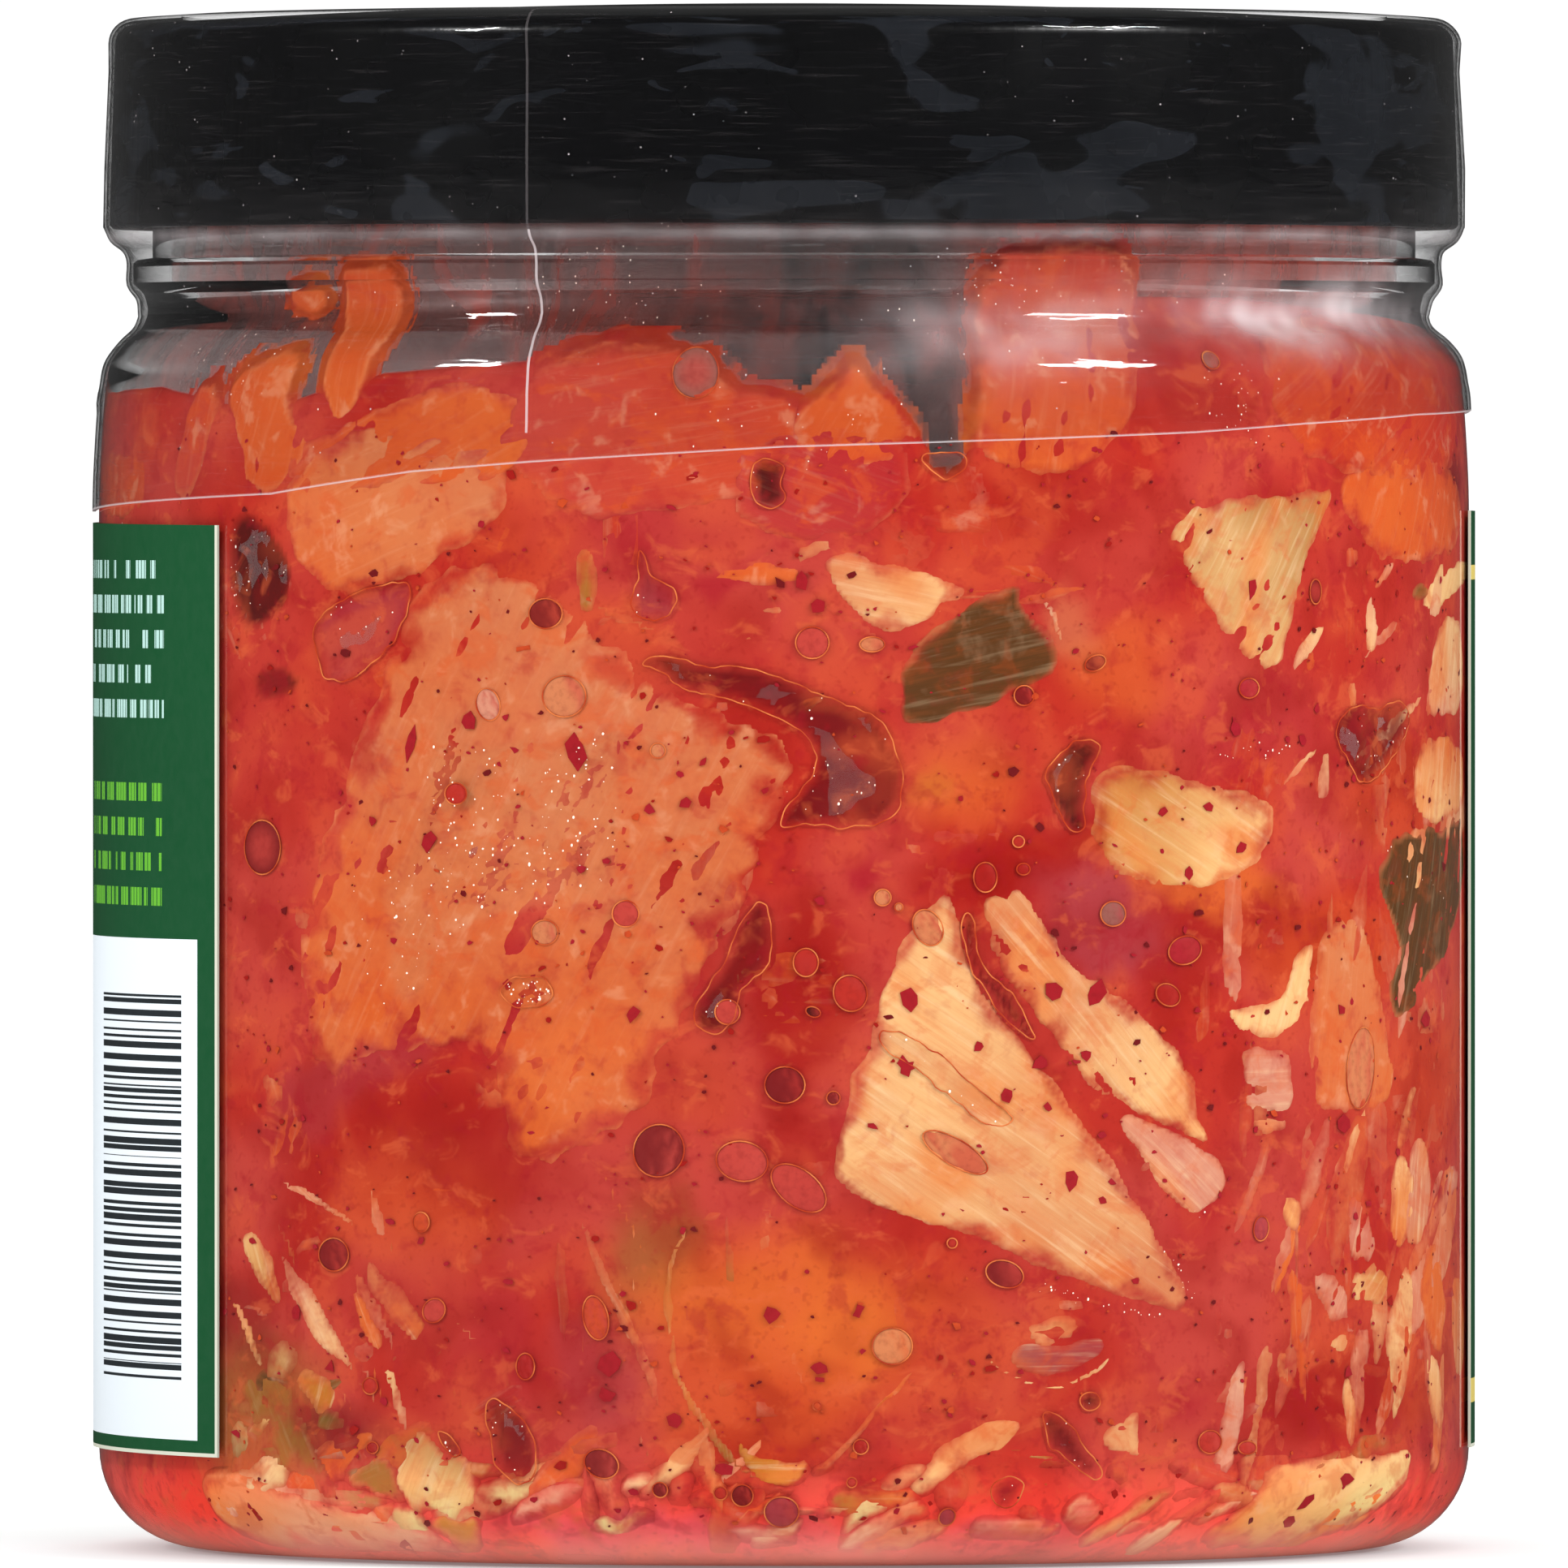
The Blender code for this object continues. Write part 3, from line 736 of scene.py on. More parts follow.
class Workshop:
    """Turns meshes in millimetres into finished pieces."""

    @staticmethod
    def spin(profile: Path, steps: int) -> bmesh.types.BMesh:
        """Carries a (radius, height) profile round Z and welds it into a closed skin that faces out."""
        bm = bmesh.new()
        bmesh.ops.create_grid(bm, x_segments=steps, y_segments=len(profile) - 1, size=0.5)
        for vert in bm.verts:
            radius, height = profile[round((vert.co.y + 0.5) * (len(profile) - 1))]
            turn = vert.co.x * math.tau
            vert.co = (radius * math.sin(turn), -radius * math.cos(turn), height)
        bmesh.ops.remove_doubles(bm, verts=bm.verts, dist=0.004)
        Workshop.face_out(bm)
        return bm

    @staticmethod
    def gathered(makers: Iterable[Callable[[bmesh.types.BMesh], None]], batch: int = 40) -> bmesh.types.BMesh:
        """Runs makers that each add a little shape, in small batches, and joins what they make."""
        whole, part = bmesh.new(), bmesh.new()
        for k, make in enumerate(makers):
            make(part)
            if k % batch == batch - 1:
                Workshop.poured(part, whole)
                part = bmesh.new()
        Workshop.poured(part, whole)
        return whole

    @staticmethod
    def poured(part: bmesh.types.BMesh, whole: bmesh.types.BMesh) -> None:
        """Adds one bmesh to another and frees it."""
        mesh = Workshop.mesh_of(part, "part")
        whole.from_mesh(mesh)
        bpy.data.meshes.remove(mesh)

    @staticmethod
    def face_out(bm: bmesh.types.BMesh) -> None:
        """Turns a closed skin's faces outwards."""
        bmesh.ops.recalc_face_normals(bm, faces=bm.faces)
        if bm.calc_volume(signed=True) < 0.0:
            bmesh.ops.reverse_faces(bm, faces=bm.faces)

    @staticmethod
    def sheet(low: tuple[float, float], high: tuple[float, float], pitch: tuple[float, float],
              thick: float, keep: Callable[[np.ndarray], np.ndarray] | None = None) -> bmesh.types.BMesh:
        """A flat slab in the unrolled frame, its front at depth 0 facing out.

        Args:
            low: Lowest arc and height.
            high: Highest arc and height.
            pitch: Size of its cells along and up.
            thick: How deep it is.
            keep: Says which (arc, height) places stay in it.

        Returns:
            The closed slab.
        """
        bm = bmesh.new()
        size = (high[0] - low[0], high[1] - low[1])
        counts = [max(1, round(s / p)) for s, p in zip(size, pitch)]
        bmesh.ops.create_grid(bm, x_segments=counts[0], y_segments=counts[1], size=0.5)
        middle = Matrix.Translation(((low[0] + high[0]) / 2, 0.0, (low[1] + high[1]) / 2))
        stand = Matrix.Rotation(math.radians(90.0), 4, "X") @ Matrix.Diagonal((size[0], size[1], 1.0, 1.0))
        bmesh.ops.transform(bm, matrix=middle @ stand, verts=bm.verts)
        if keep:
            places = np.array([(v.co.x, v.co.z) for v in bm.verts])
            kept = dict(zip(bm.verts, keep(places)))
            gone = [face for face in bm.faces if not any(kept[v] for v in face.verts)]
            bmesh.ops.delete(bm, geom=gone, context="FACES")
        skin = bmesh.ops.extrude_face_region(bm, geom=bm.faces[:])
        back = [item for item in skin["geom"] if isinstance(item, bmesh.types.BMVert)]
        bmesh.ops.translate(bm, vec=(0.0, thick, 0.0), verts=back)
        Workshop.face_out(bm)
        return bm

    @staticmethod
    def mesh_of(bm: bmesh.types.BMesh, name: str) -> bpy.types.Mesh:
        """The bmesh as a mesh, still in millimetres."""
        mesh = bpy.data.meshes.new(name)
        bm.to_mesh(mesh)
        bm.free()
        return mesh

    @staticmethod
    def points(mesh: bpy.types.Mesh) -> np.ndarray:
        """A mesh's vertices, one row each."""
        flat = np.empty(len(mesh.vertices) * 3)
        mesh.vertices.foreach_get("co", flat)
        return flat.reshape(-1, 3)

    @staticmethod
    def move(mesh: bpy.types.Mesh, points: np.ndarray) -> None:
        """Puts a mesh's vertices at these points."""
        mesh.vertices.foreach_set("co", np.ascontiguousarray(points, float).ravel())
        mesh.update()

    @staticmethod
    def paint(mesh: bpy.types.Mesh, **layers: np.ndarray) -> None:
        """Stores point attributes: colours by three columns, `grain` and `unrolled*` as vectors."""
        for name, values in layers.items():
            if values.ndim == 1:
                layer = mesh.attributes.new(name, "FLOAT", "POINT")
                layer.data.foreach_set("value", values)
            elif name == "grain" or name.startswith("unrolled"):
                layer = mesh.attributes.new(name, "FLOAT_VECTOR", "POINT")
                layer.data.foreach_set("vector", np.ascontiguousarray(values, float).ravel())
            else:
                layer = mesh.attributes.new(name, "FLOAT_COLOR", "POINT")
                layer.data.foreach_set("color", np.column_stack([values, np.ones(len(values))]).ravel())

    @staticmethod
    def wrapped(flat: np.ndarray, base: np.ndarray) -> np.ndarray:
        """Unrolled points wrapped round the jar, with `base` the radius at depth 0."""
        turn = flat[:, 0] / ARC_RADIUS
        radius = base - flat[:, 1]
        return np.column_stack([radius * np.sin(turn), -radius * np.cos(turn), flat[:, 2]])

    @staticmethod
    def unroll(points: np.ndarray) -> np.ndarray:
        """Points round the jar as (arc, radius, height)."""
        turn = np.arctan2(points[:, 0], -points[:, 1])
        return np.column_stack([turn * ARC_RADIUS, np.hypot(points[:, 0], points[:, 1]), points[:, 2]])

    @staticmethod
    def finish(mesh: bpy.types.Mesh, material: bpy.types.Material, slot: str, sharp: float = 35.0,
               replaces: str | None = None) -> bpy.types.Object:
        """Makes a mesh in millimetres one finished piece of the jar.

        Args:
            mesh: The mesh, in place.
            material: Its material.
            slot: The material slot that the piece belongs to; not used.
            sharp: Angle past which its edges show, in degrees.
            replaces: The CAD node that it stands for.

        Returns:
            The piece.
        """
        mesh.transform(Matrix.Scale(MM, 4))
        mesh.shade_smooth()
        mesh.set_sharp_from_angle(angle=math.radians(sharp))
        mesh.materials.clear()
        mesh.materials.append(material)
        piece = bpy.data.objects.new(mesh.name, mesh)
        bpy.context.scene.collection.objects.link(piece)
        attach(piece, "root")
        if replaces:
            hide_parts(replaces)
        LOG.info("%s: %d faces", piece.name, len(mesh.polygons))
        return piece


@dataclass(frozen=True)
class Jar:
    """The clear jar."""

    shape: JarShape = JAR

    def build(self) -> bpy.types.Object:
        """Builds the jar as one smooth shell."""
        inside = [(self.shape.neck_radius - self.shape.neck_wall + 0.3, self.shape.lip),
                  (self.shape.neck_radius - self.shape.neck_wall, self.shape.lip - 0.3)]
        inside += list(reversed(self.shape.inside()))
        inside += [(self.shape.foot_inner - 0.4, self.shape.wall),
                   (self.shape.push_up_radius - 0.6, self.shape.push_up + self.shape.wall),
                   (0.0, self.shape.push_up + self.shape.wall)]
        mesh = Workshop.mesh_of(Workshop.spin(self.shape.outside() + inside, self.shape.steps), "clear_jar")
        return Workshop.finish(mesh, ClearPlastic().material(), "jar", 28.0, "jar")


@dataclass(frozen=True)
class Cap:
    """The black screw cap."""

    low: float = 109.0
    rim: float = 125.85
    crown: float = 127.6
    low_radius: float = 55.85
    high_radius: float = 55.4
    edge_round: float = 1.5
    wall: float = 1.6
    roof: float = 124.0
    steps: int = 240

    def outside(self) -> Path:
        """The outside from the crown to the skirt's lower edge."""
        edge = self.high_radius - self.edge_round
        points = [(r, self.crown - (self.crown - self.rim) * (r / edge) ** 2)
                  for r in (edge * k / 12 for k in range(12))]
        points += arc_points((edge, self.rim - self.edge_round), self.edge_round, 90.0, 0.0, 8)
        points += [(self.low_radius, self.low + 1.2), (self.low_radius, self.low + 0.3),
                   (self.low_radius - 0.3, self.low)]
        return points

    def build(self) -> bpy.types.Object:
        """Builds the cap, open below."""
        hollow = self.high_radius - self.wall
        inside = [(hollow + 0.3, self.low), (hollow, self.low + 0.3), (hollow, self.roof - 0.5),
                  (hollow - 0.5, self.roof), (0.0, self.roof)]
        mesh = Workshop.mesh_of(Workshop.spin(self.outside() + inside, self.steps), "screw_cap")
        Workshop.paint(mesh, unrolled=Workshop.unroll(Workshop.points(mesh)))
        return Workshop.finish(mesh, BlackPlastic().material(), "cap", 30.0, "cap")


@dataclass(frozen=True)
class Sleeve:
    """The shrink sleeve over cap, neck and shoulder."""

    gap: float = 0.3
    film: float = 0.25
    lap: float = 4.0
    pivot: float = 98.0
    widest: float = 57.24
    fold: float = 0.4
    fold_from: float = 86.5
    steps: int = 360
    lower_edge: tuple[tuple[float, float], ...] = (
        (-90, 85.6), (-47, 87.0), (-32, 88.8), (-21, 89.6), (0, 90.8), (20, 91.4), (36, 92.0), (48, 92.7),
        (66, 93.5), (90, 94.0), (180, 89.5), (270, 85.6))

    def path(self) -> Path:
        """The film's inner face from the cap's top down to its nominal lower edge."""
        cap = Cap()
        edge = cap.high_radius - cap.edge_round
        start = edge - self.lap
        drop = (cap.crown - cap.rim) * (1.0 - (start / edge) ** 2)
        points = [(start, cap.rim + drop + self.gap), (start + 2.0, cap.rim + drop * 0.5 + self.gap)]
        points += arc_points((edge, cap.rim - cap.edge_round), cap.edge_round + self.gap, 90.0, 0.0, 8)
        points += [(cap.high_radius + self.gap, 122.0), (cap.low_radius + self.gap - 0.1, 114.0)]
        knots = [(cap.low_radius + self.gap, cap.low + 0.2), (cap.low_radius - 0.3, cap.low - 0.9),
                 (JAR.ledge_radius + self.gap + 0.25, JAR.ledge_high + 0.8),
                 (JAR.ledge_radius + self.gap, JAR.ledge_high - 0.3),
                 (JAR.ledge_radius + self.gap, JAR.ledge_low + 0.2),
                 (JAR.groove_radius + self.gap + 0.35, JAR.groove_top - 0.5),
                 (JAR.groove_radius + self.gap + 0.1, 101.7)]
        points += rounded(knots, 4)
        points += [(r + self.gap, z) for r, z in reversed(JAR.shoulder()) if z < 101.2]
        return points

    def edge_height(self, turn: np.ndarray) -> np.ndarray:
        """The lower edge's height at a turn in degrees."""
        turn = np.where(turn < -90.0, turn + 360.0, turn)
        return np.interp(turn, [t for t, _ in self.lower_edge], [z for _, z in self.lower_edge])

    def build(self) -> bpy.types.Object:
        """Builds the film as a thin closed shell with wrinkles."""
        mesh = Workshop.mesh_of(self.shell(), "shrink_film")
        flat = Workshop.unroll(Workshop.points(mesh))
        Workshop.paint(mesh, unrolled=flat, film_marks=self.marks(flat))
        return Workshop.finish(mesh, ClearFilm().material(), "shrink_sleeve", 60.0, "shrink_sleeve")

    def shell(self) -> bmesh.types.BMesh:
        """The film carried round, with its slanting edge, its folds and its thickness."""
        path = self.path()
        bm = bmesh.new()
        bmesh.ops.create_grid(bm, x_segments=self.steps, y_segments=len(path) - 1, size=0.5)
        places = np.array([vert.co[:2] for vert in bm.verts]) + 0.5
        row = np.rint(places[:, 1] * (len(path) - 1)).astype(int)
        radius, height = np.array(path)[row].T
        turn = (places[:, 0] - 0.5) * 360.0
        low = height < self.pivot
        share = (self.pivot - height) / (self.pivot - JAR.side_top)
        height = np.where(low, self.pivot - share * (self.pivot - self.edge_height(turn)), height)
        radius = np.where(low, JAR.outer_radius(height) + self.gap, radius)
        angle = np.radians(turn)
        flow = np.column_stack([np.sin(angle) * 3.4, np.cos(angle) * 3.4, height * 0.3])
        deep = np.where(height > self.fold_from, self.fold, 0.0)
        fold = np.maximum(rough(flow, 1.0, 3.0) - 0.05, 0.0) * deep
        radius = radius + np.minimum(fold, np.maximum(0.0, self.widest - self.film - radius))
        for vert, r, a, z in zip(bm.verts, radius, angle, height):
            vert.co = (r * math.sin(a), -r * math.cos(a), z)
        bmesh.ops.remove_doubles(bm, verts=bm.verts, dist=0.004)
        bmesh.ops.recalc_face_normals(bm, faces=bm.faces)
        if sum(face.normal.xy.dot(face.calc_center_median().xy) for face in bm.faces) < 0.0:
            bmesh.ops.reverse_faces(bm, faces=bm.faces)
        bmesh.ops.solidify(bm, geom=bm.faces[:], thickness=-self.film)
        Workshop.face_out(bm)
        return bm

    def marks(self, flat: np.ndarray) -> np.ndarray:
        """Haze in the red channel and the distance above the lower edge in the green."""
        arc, height = flat[:, 0], flat[:, 2]
        turn = np.degrees(arc / ARC_RADIUS)
        wander = rough(flat * (0.06, 0.0, 0.12), 1.0, 4.0)
        right = np.exp(-((turn - 52 - wander * 14) / 17) ** 2)
        right = right * np.exp(-((height - 101.5 - wander * 2) / 2.6) ** 2)
        middle = np.exp(-((turn - 18) / 12) ** 2) * np.exp(-((height - 100.0) / 3.0) ** 2)
        haze = 0.5 * right + 0.2 * middle
        ledge = np.exp(-((height - 108.2) / 0.5) ** 2) * 0.15
        above = np.clip(height - self.edge_height(turn), 0.0, 4.0)
        return np.column_stack([np.clip(haze + ledge, 0.0, 1.0), above, np.zeros(len(flat))])


@dataclass(frozen=True)
class Label:
    """The paper label round the back of the jar."""

    low: float = 8.3
    high_left: float = 84.5
    high_right: float = 85.7
    start: float = -54.0
    end: float = -278.0
    thick: float = 0.2
    inner: float = 57.05
    columns: int = 260
    rows: int = 12

    @classmethod
    def length(cls) -> float:
        """The label's length along the arc, in millimetres."""
        return math.radians(cls.start - cls.end) * ARC_RADIUS

    def build(self) -> bpy.types.Object:
        """Builds the label as one strip of paper."""
        length = self.length()
        bm = Workshop.sheet((0.0, 0.0), (length, 1.0), (length / self.columns, 1.0 / self.rows), self.thick)
        mesh = Workshop.mesh_of(bm, "wrap_label")
        flat = Workshop.points(mesh)
        share = flat[:, 0] / length
        top = self.high_left + (self.high_right - self.high_left) * share
        height = self.low + (top - self.low) * flat[:, 2]
        print_place = np.column_stack([flat[:, 0], flat[:, 1], height])
        arc = math.radians(self.start) * ARC_RADIUS - flat[:, 0]
        placed = Workshop.wrapped(np.column_stack([arc, -self.thick + flat[:, 1], height]),
                                  np.full(len(flat), self.inner))
        Workshop.move(mesh, placed)
        mesh.flip_normals()
        Workshop.paint(mesh, unrolled_label=print_place)
        return Workshop.finish(mesh, PrintedPaper().material(), "label", 35.0, "label")


def outline_of(pixels: str, corners: int = 2) -> np.ndarray:
    """A closed outline in (arc, height) from "x,y" pixels, its corners cut round `corners` times."""
    points = VIEW.unrolled([tuple(map(float, pair.split(","))) for pair in pixels.split()])
    for _ in range(corners):
        after = np.roll(points, -1, axis=0)
        points = np.column_stack([points * 0.75 + after * 0.25, points * 0.25 + after * 0.75]).reshape(-1, 2)
    return points


def inside_distance(all_places: np.ndarray, outline: np.ndarray, margin: float = 2.0) -> np.ndarray:
    """How far places lie inside a closed outline, below 0 outside it and -9 far from it."""
    result = np.full(len(all_places), -9.0)
    low, high = outline.min(0) - margin, outline.max(0) + margin
    close = ((all_places > low) & (all_places < high)).all(1)
    places = all_places[close]
    least = np.full(len(places), 1e9)
    within = np.zeros(len(places), bool)
    for start, end in zip(outline, np.roll(outline, -1, axis=0)):
        side = end - start
        offset = places - start
        share = np.clip((offset @ side) / max(side @ side, 1e-9), 0.0, 1.0)
        least = np.minimum(least, np.linalg.norm(offset - share[:, None] * side, axis=1))
        crosses = (start[1] > places[:, 1]) != (end[1] > places[:, 1])
        rise = end[1] - start[1] if abs(end[1] - start[1]) > 1e-9 else 1e-9
        within ^= crosses & (offset[:, 0] < side[0] * (places[:, 1] - start[1]) / rise)
    result[close] = np.where(within, least, -least)
    return result


def wobbled(places: np.ndarray, amount: float, scale: float, seed: float) -> np.ndarray:
    """Places pushed about by noise, so that outlines drawn over them come out uneven."""
    deep = with_third(places, seed)
    return places + amount * np.column_stack([rough(deep, scale, seed), rough(deep, scale, seed + 9.0)])


class Flesh(Enum):
    """What a cut is of: the piece that it joins, and how fibrous and gritty that piece is."""

    STEM = ("cabbage_stems", 0.9, 0.13)
    LEAF = ("cabbage_leaves", 0.3, 0.06)
    SKIN = ("cabbage_blades", 0.2, 0.18)
    SCRAP = ("cabbage_scraps", 0.4, 0.2)


def rows_of(text: str) -> Iterable[list[Any]]:
    """Reads rows parted by semicolons.

    Args:
        text: The rows. In a row a word is a tint, "a,b" a pair of whole numbers and the
            rest single numbers.

    Returns:
        The values of each row in turn.
    """
    for row in text.split(";"):
        yield [Tint[word] if word[0].isalpha() else tuple(int(part) for part in word.split(","))
               if "," in word else float(word) for word in row.split()]


def meaning(word: str) -> Any:
    """A word of a table as a tint, a kind of flesh, nothing or a number."""
    for names in (Tint, Flesh):
        if word in names.__members__:
            return names[word]
    if word == "None":
        return None
    return float(word) if "." in word else int(word)


def described(kind: type, heads: int, text: str) -> Iterable[Any]:
    """Reads things with outlines, parted by semicolons.

    Args:
        kind: The dataclass that they are of.
        heads: How many of its fields come before the outline.
        text: The rows: the fields in order, but for the outline, which comes last as
            "x,y" pixels, each after the first a step from the one before.

    Returns:
        Each thing in turn.
    """
    for row in text.split(";"):
        words = row.split()
        steps = [tuple(map(int, word.split(","))) for word in words if "," in word]
        corners = itertools.accumulate(steps, lambda at, step: (at[0] + step[0], at[1] + step[1]))
        name, *values = [word for word in words if "," not in word]
        values = [meaning(word) for word in values]
        yield kind(name, *values[:heads - 1], " ".join(f"{x},{y}" for x, y in corners),
                   *values[heads - 1:])


@dataclass(frozen=True)
class Patch:
    """A soft area of colour in the sauce, seen at a place in the photograph."""

    tint: Tint
    at: tuple[int, int]
    reach: tuple[int, int]
    tilt: float = 0.0
    strength: float = 0.9
    edge: float = 0.5

    def share(self, places: np.ndarray) -> np.ndarray:
        """How strongly the patch colours each (arc, height) place."""
        centre, spread = VIEW.spread(self.at, self.reach, 0.3)
        along, across = along_across(places - centre, self.tilt)
        far = np.hypot(along / spread[0], across / spread[1])
        return self.strength * smooth(1.0 + self.edge, 1.0 - self.edge, far)


PATCHES = tuple(Patch(*row) for row in rows_of("""
    RED 300,620 90,60; ROSE 430,625 80,60 0 0.8; BEIGE 480,640 55,45 0 0.55;
    CRIMSON 392,668 30,24 0 0.7; ORANGE 640,640 60,90 10 0.5; ROSE 760,620 110,60 0 0.6;
    CRIMSON 800,650 120,46 -8 0.45; CRIMSON 1030,610 120,50 0 0.5; RED 1180,640 70,60 0 0.7;
    ROSE 900,770 140,60 0 0.5; CRIMSON 908,727 26,24 0 0.75; ORANGE 740,790 90,50 -20 0.5;
    ROSE 1340,690 90,110 0 0.6; DEEP 1280,616 100,54 0 0.75; RED 1600,640 60,70 0 0.6;
    AMBER 1728,606 36,46 0 0.9; MAROON 1796,600 18,40 0 0.8; RED 1650,780 90,80 0 0.6;
    AMBER 1380,830 60,50 0 0.4; BEIGE 1330,770 26,50 12 0.35; CRIMSON 1560,900 90,50 0 0.45;
    AMBER 1180,960 70,60 -30 0.5; GOLD 1150,960 34,24 0 0.35; ORANGE 1730,980 70,60 0 0.6;
    RED 340,930 110,120 20 0.7; ROSE 290,880 50,90 0 0.4; ROSE 330,1180 70,130 10 0.5;
    MAUVE 420,1330 110,44 24 0.55; CRIMSON 600,1180 90,36 0 0.6; CRIMSON 560,1250 120,24 14 0.5;
    DEEP 500,1440 180,110 14 0.6; ORANGE 510,1500 90,80 0 0.75; DEEP 600,1420 90,80 0 0.55;
    AMBER 690,1330 46,60 -16 0.6; ROSE 1060,1080 80,60 0 0.6; CRIMSON 1064,1070 27,24 0 0.8;
    DEEP 985,1240 70,110 0 0.85; DEEP 990,1400 50,60 0 0.7; ORANGE 820,1330 80,70 0 0.4;
    DEEP 1280,1055 130,40 14 0.85; MAUVE 1370,1140 90,66 -24 0.75; DEEP 1450,1200 40,80 0 0.6;
    DEEP 1560,1150 120,50 -14 0.8; AMBER 1480,1080 110,34 -14 0.7; RED 1490,1330 50,130 0 0.7;
    ORANGE 1650,1180 90,70 0 0.7; ORANGE 1760,1330 60,90 0 0.5; ROSE 1600,1440 90,60 0 0.5;
    CRIMSON 1470,1500 40,50 0 0.4; ROSE 760,1500 120,60 0 0.4; OLIVE 800,1560 60,80 20 0.55;
    RED 700,1620 60,100 0 0.6; MAUVE 740,1690 60,60 0 0.5; AMBER 960,1620 150,80 6 0.75;
    AMBER 1040,1660 90,60 30 0.8; ORANGE 930,1740 120,70 0 0.9; DEEP 960,1790 100,30 0 0.5;
    ORANGE 1170,1640 70,70 0 0.6; RED 1330,1590 120,40 -12 0.5; ROSE 1500,1620 100,80 0 0.6;
    DEEP 1670,1720 110,60 0 0.9; ORANGE 1640,1620 60,60 0 0.5; ORANGE 1770,1640 50,110 0 0.7;
    ROSE 520,1600 100,80 -24 0.55; CRIMSON 610,1660 50,110 0 0.5; OLIVE 320,1740 70,90 0 0.6;
    MAROON 300,1640 40,60 0 0.5; ROSE 560,1770 120,60 0 0.4; MAROON 410,1770 60,30 0 0.7;
    ROSE 1440,1780 110,50 0 0.6; CRIMSON 1460,1740 36,30 0 0.6; RED 1180,1830 120,46 0 0.6;
    MAUVE 800,1890 220,26 0 0.8; MAUVE 1230,1895 180,24 0 0.6
"""))


@dataclass(frozen=True)
class Pocket:
    """A hollow at the wall: air or thin brine where the filling stands back. Its tint is painted over the
    filling there as the hollow's shade, and a rim as a bright painted highlight.
    """

    name: str
    tint: Tint
    outline: str
    depth: float = 1.6
    # How strongly the pocket's tint is painted in as the hollow's shade.
    dark: float = 0.85
    # A pocket with a rim gets a painted bright rim line round it.
    rim: Tint | None = Tint.AMBER
    grit: float = 0.0
    glints: int = 0


POCKETS = tuple(described(Pocket, 2, """
crescent MAROON 2.6 0.9 AMBER 0.2 16 788,822 8,-13 37,-2 23,15 76,0 53,23 73,30 23,3 24,43 10,37 -5,36
-19,20 -43,7 -50,-7 -38,7 2,-17 40,-46 6,-27 -13,-23 -30,-21 -59,-25 -73,-14 -22,-26;
right_notch DARK 2.2 0.9 ORANGE 0.2 8 1286,951 20,-20 17,-20 33,2 3,12 -17,26 -6,40 3,27 -13,10 -20,-24
-10,-26;
peanut MAROON 1.8 0.8 AMBER 0 5 937,1108 12,12 1,53 -5,20 -26,19 -10,14 -3,26 -20,23 -20,-3 -15,-16 5,-20
23,-30 17,-23 10,-37 19,-26;
snake MAROON 1.6 0.75 AMBER 0 2 1186,1130 10,-8 8,18 -2,26 14,34 34,22 12,28 18,26 -8,6 -20,-14 -30,-36
-26,-42 -9,-30;
left_dark DARK 3.4 0.9 None 0.3 26 283,626 37,14 36,53 -4,47 -29,32 -30,3 -17,-55;
left_shadow DARK 1.4 0.65 None 305,838 17,-18 30,2 20,18 -22,22 -32,0;
left_bubble MAUVE 0.9 0.7 GREY 0.1 10 380,770 39,-31 53,-20 30,-3 4,16 -11,40 -23,33 -33,30 -37,8 -12,-28;
glisten BEIGE 0.7 0.35 None 1 190 538,882 10,4 4,29 46,10 50,-20 26,16 42,-6 44,-30 8,95 -8,103 -23,23
-26,20 -40,-6 -33,6 -60,13 -33,20 -13,40 -17,37 -20,3 -18,-20 -5,-70 -10,-66 38,-33 20,-70 8,-70;
glisten_small AMBER 0.8 0.3 ORANGE 1 34 612,1222 16,-17 40,-3 16,20 -16,18 -38,2;
neck_drop MAUVE 1.3 0.75 ORANGE 0 3 784,676 13,10 3,26 26,8 10,22 -14,20 -22,4 -22,-10 -2,-26 12,-18;
top_notch SOOT 3 0.95 ORANGE 1134,558 63,0 -7,26 -22,8 -22,-12;
upper_oval DARK 1.8 0.85 AMBER 0 2 924,572 20,-9 24,11 -6,22 10,20 -24,14 -22,-14;
right_hollow MAROON 2.2 0.85 ORANGE 0.3 12 1648,899 5,-17 22,-15 24,10 27,-18 17,27 -24,47 -37,41 -17,-34
-17,-27;
low_left MAROON 2 0.8 AMBER 0.1 8 596,1730 14,-8 32,22 17,37 0,38 -23,14 -26,-23 -8,-43;
boot MAROON 1.8 0.8 AMBER 0.1 5 1286,1741 12,-1 23,13 11,28 29,29 -3,17 -26,-14 -25,-23 -18,-9;
channel BEIGE 0.5 0.45 CREAM 0.1 8 1083,1268 29,4 48,26 40,42 46,30 6,14 -30,6 -52,-40 -48,-38 -32,-20;
star MAROON 1.4 0.8 AMBER 0 2 1224,1835 8,-13 30,-2 -2,26 -12,12 -20,-6;
seed_gap SOOT 1.4 0.85 AMBER 0 3 538,1762 14,6 14,16 -6,16 -12,-10 -8,-16;
wedge DARK 1.4 0.8 AMBER 0 1 1332,1718 18,-4 12,14 -14,14 -14,-6
"""))


@dataclass(frozen=True)
class Bubble:
    """A small round bubble pressed on the wall, in photograph pixels."""

    at: tuple[int, int]
    size: tuple[int, int]
    # The colour painted into the dome as the light and shade seen in the bubble.
    tint: Tint = Tint.RED
    tilt: float = 0.0


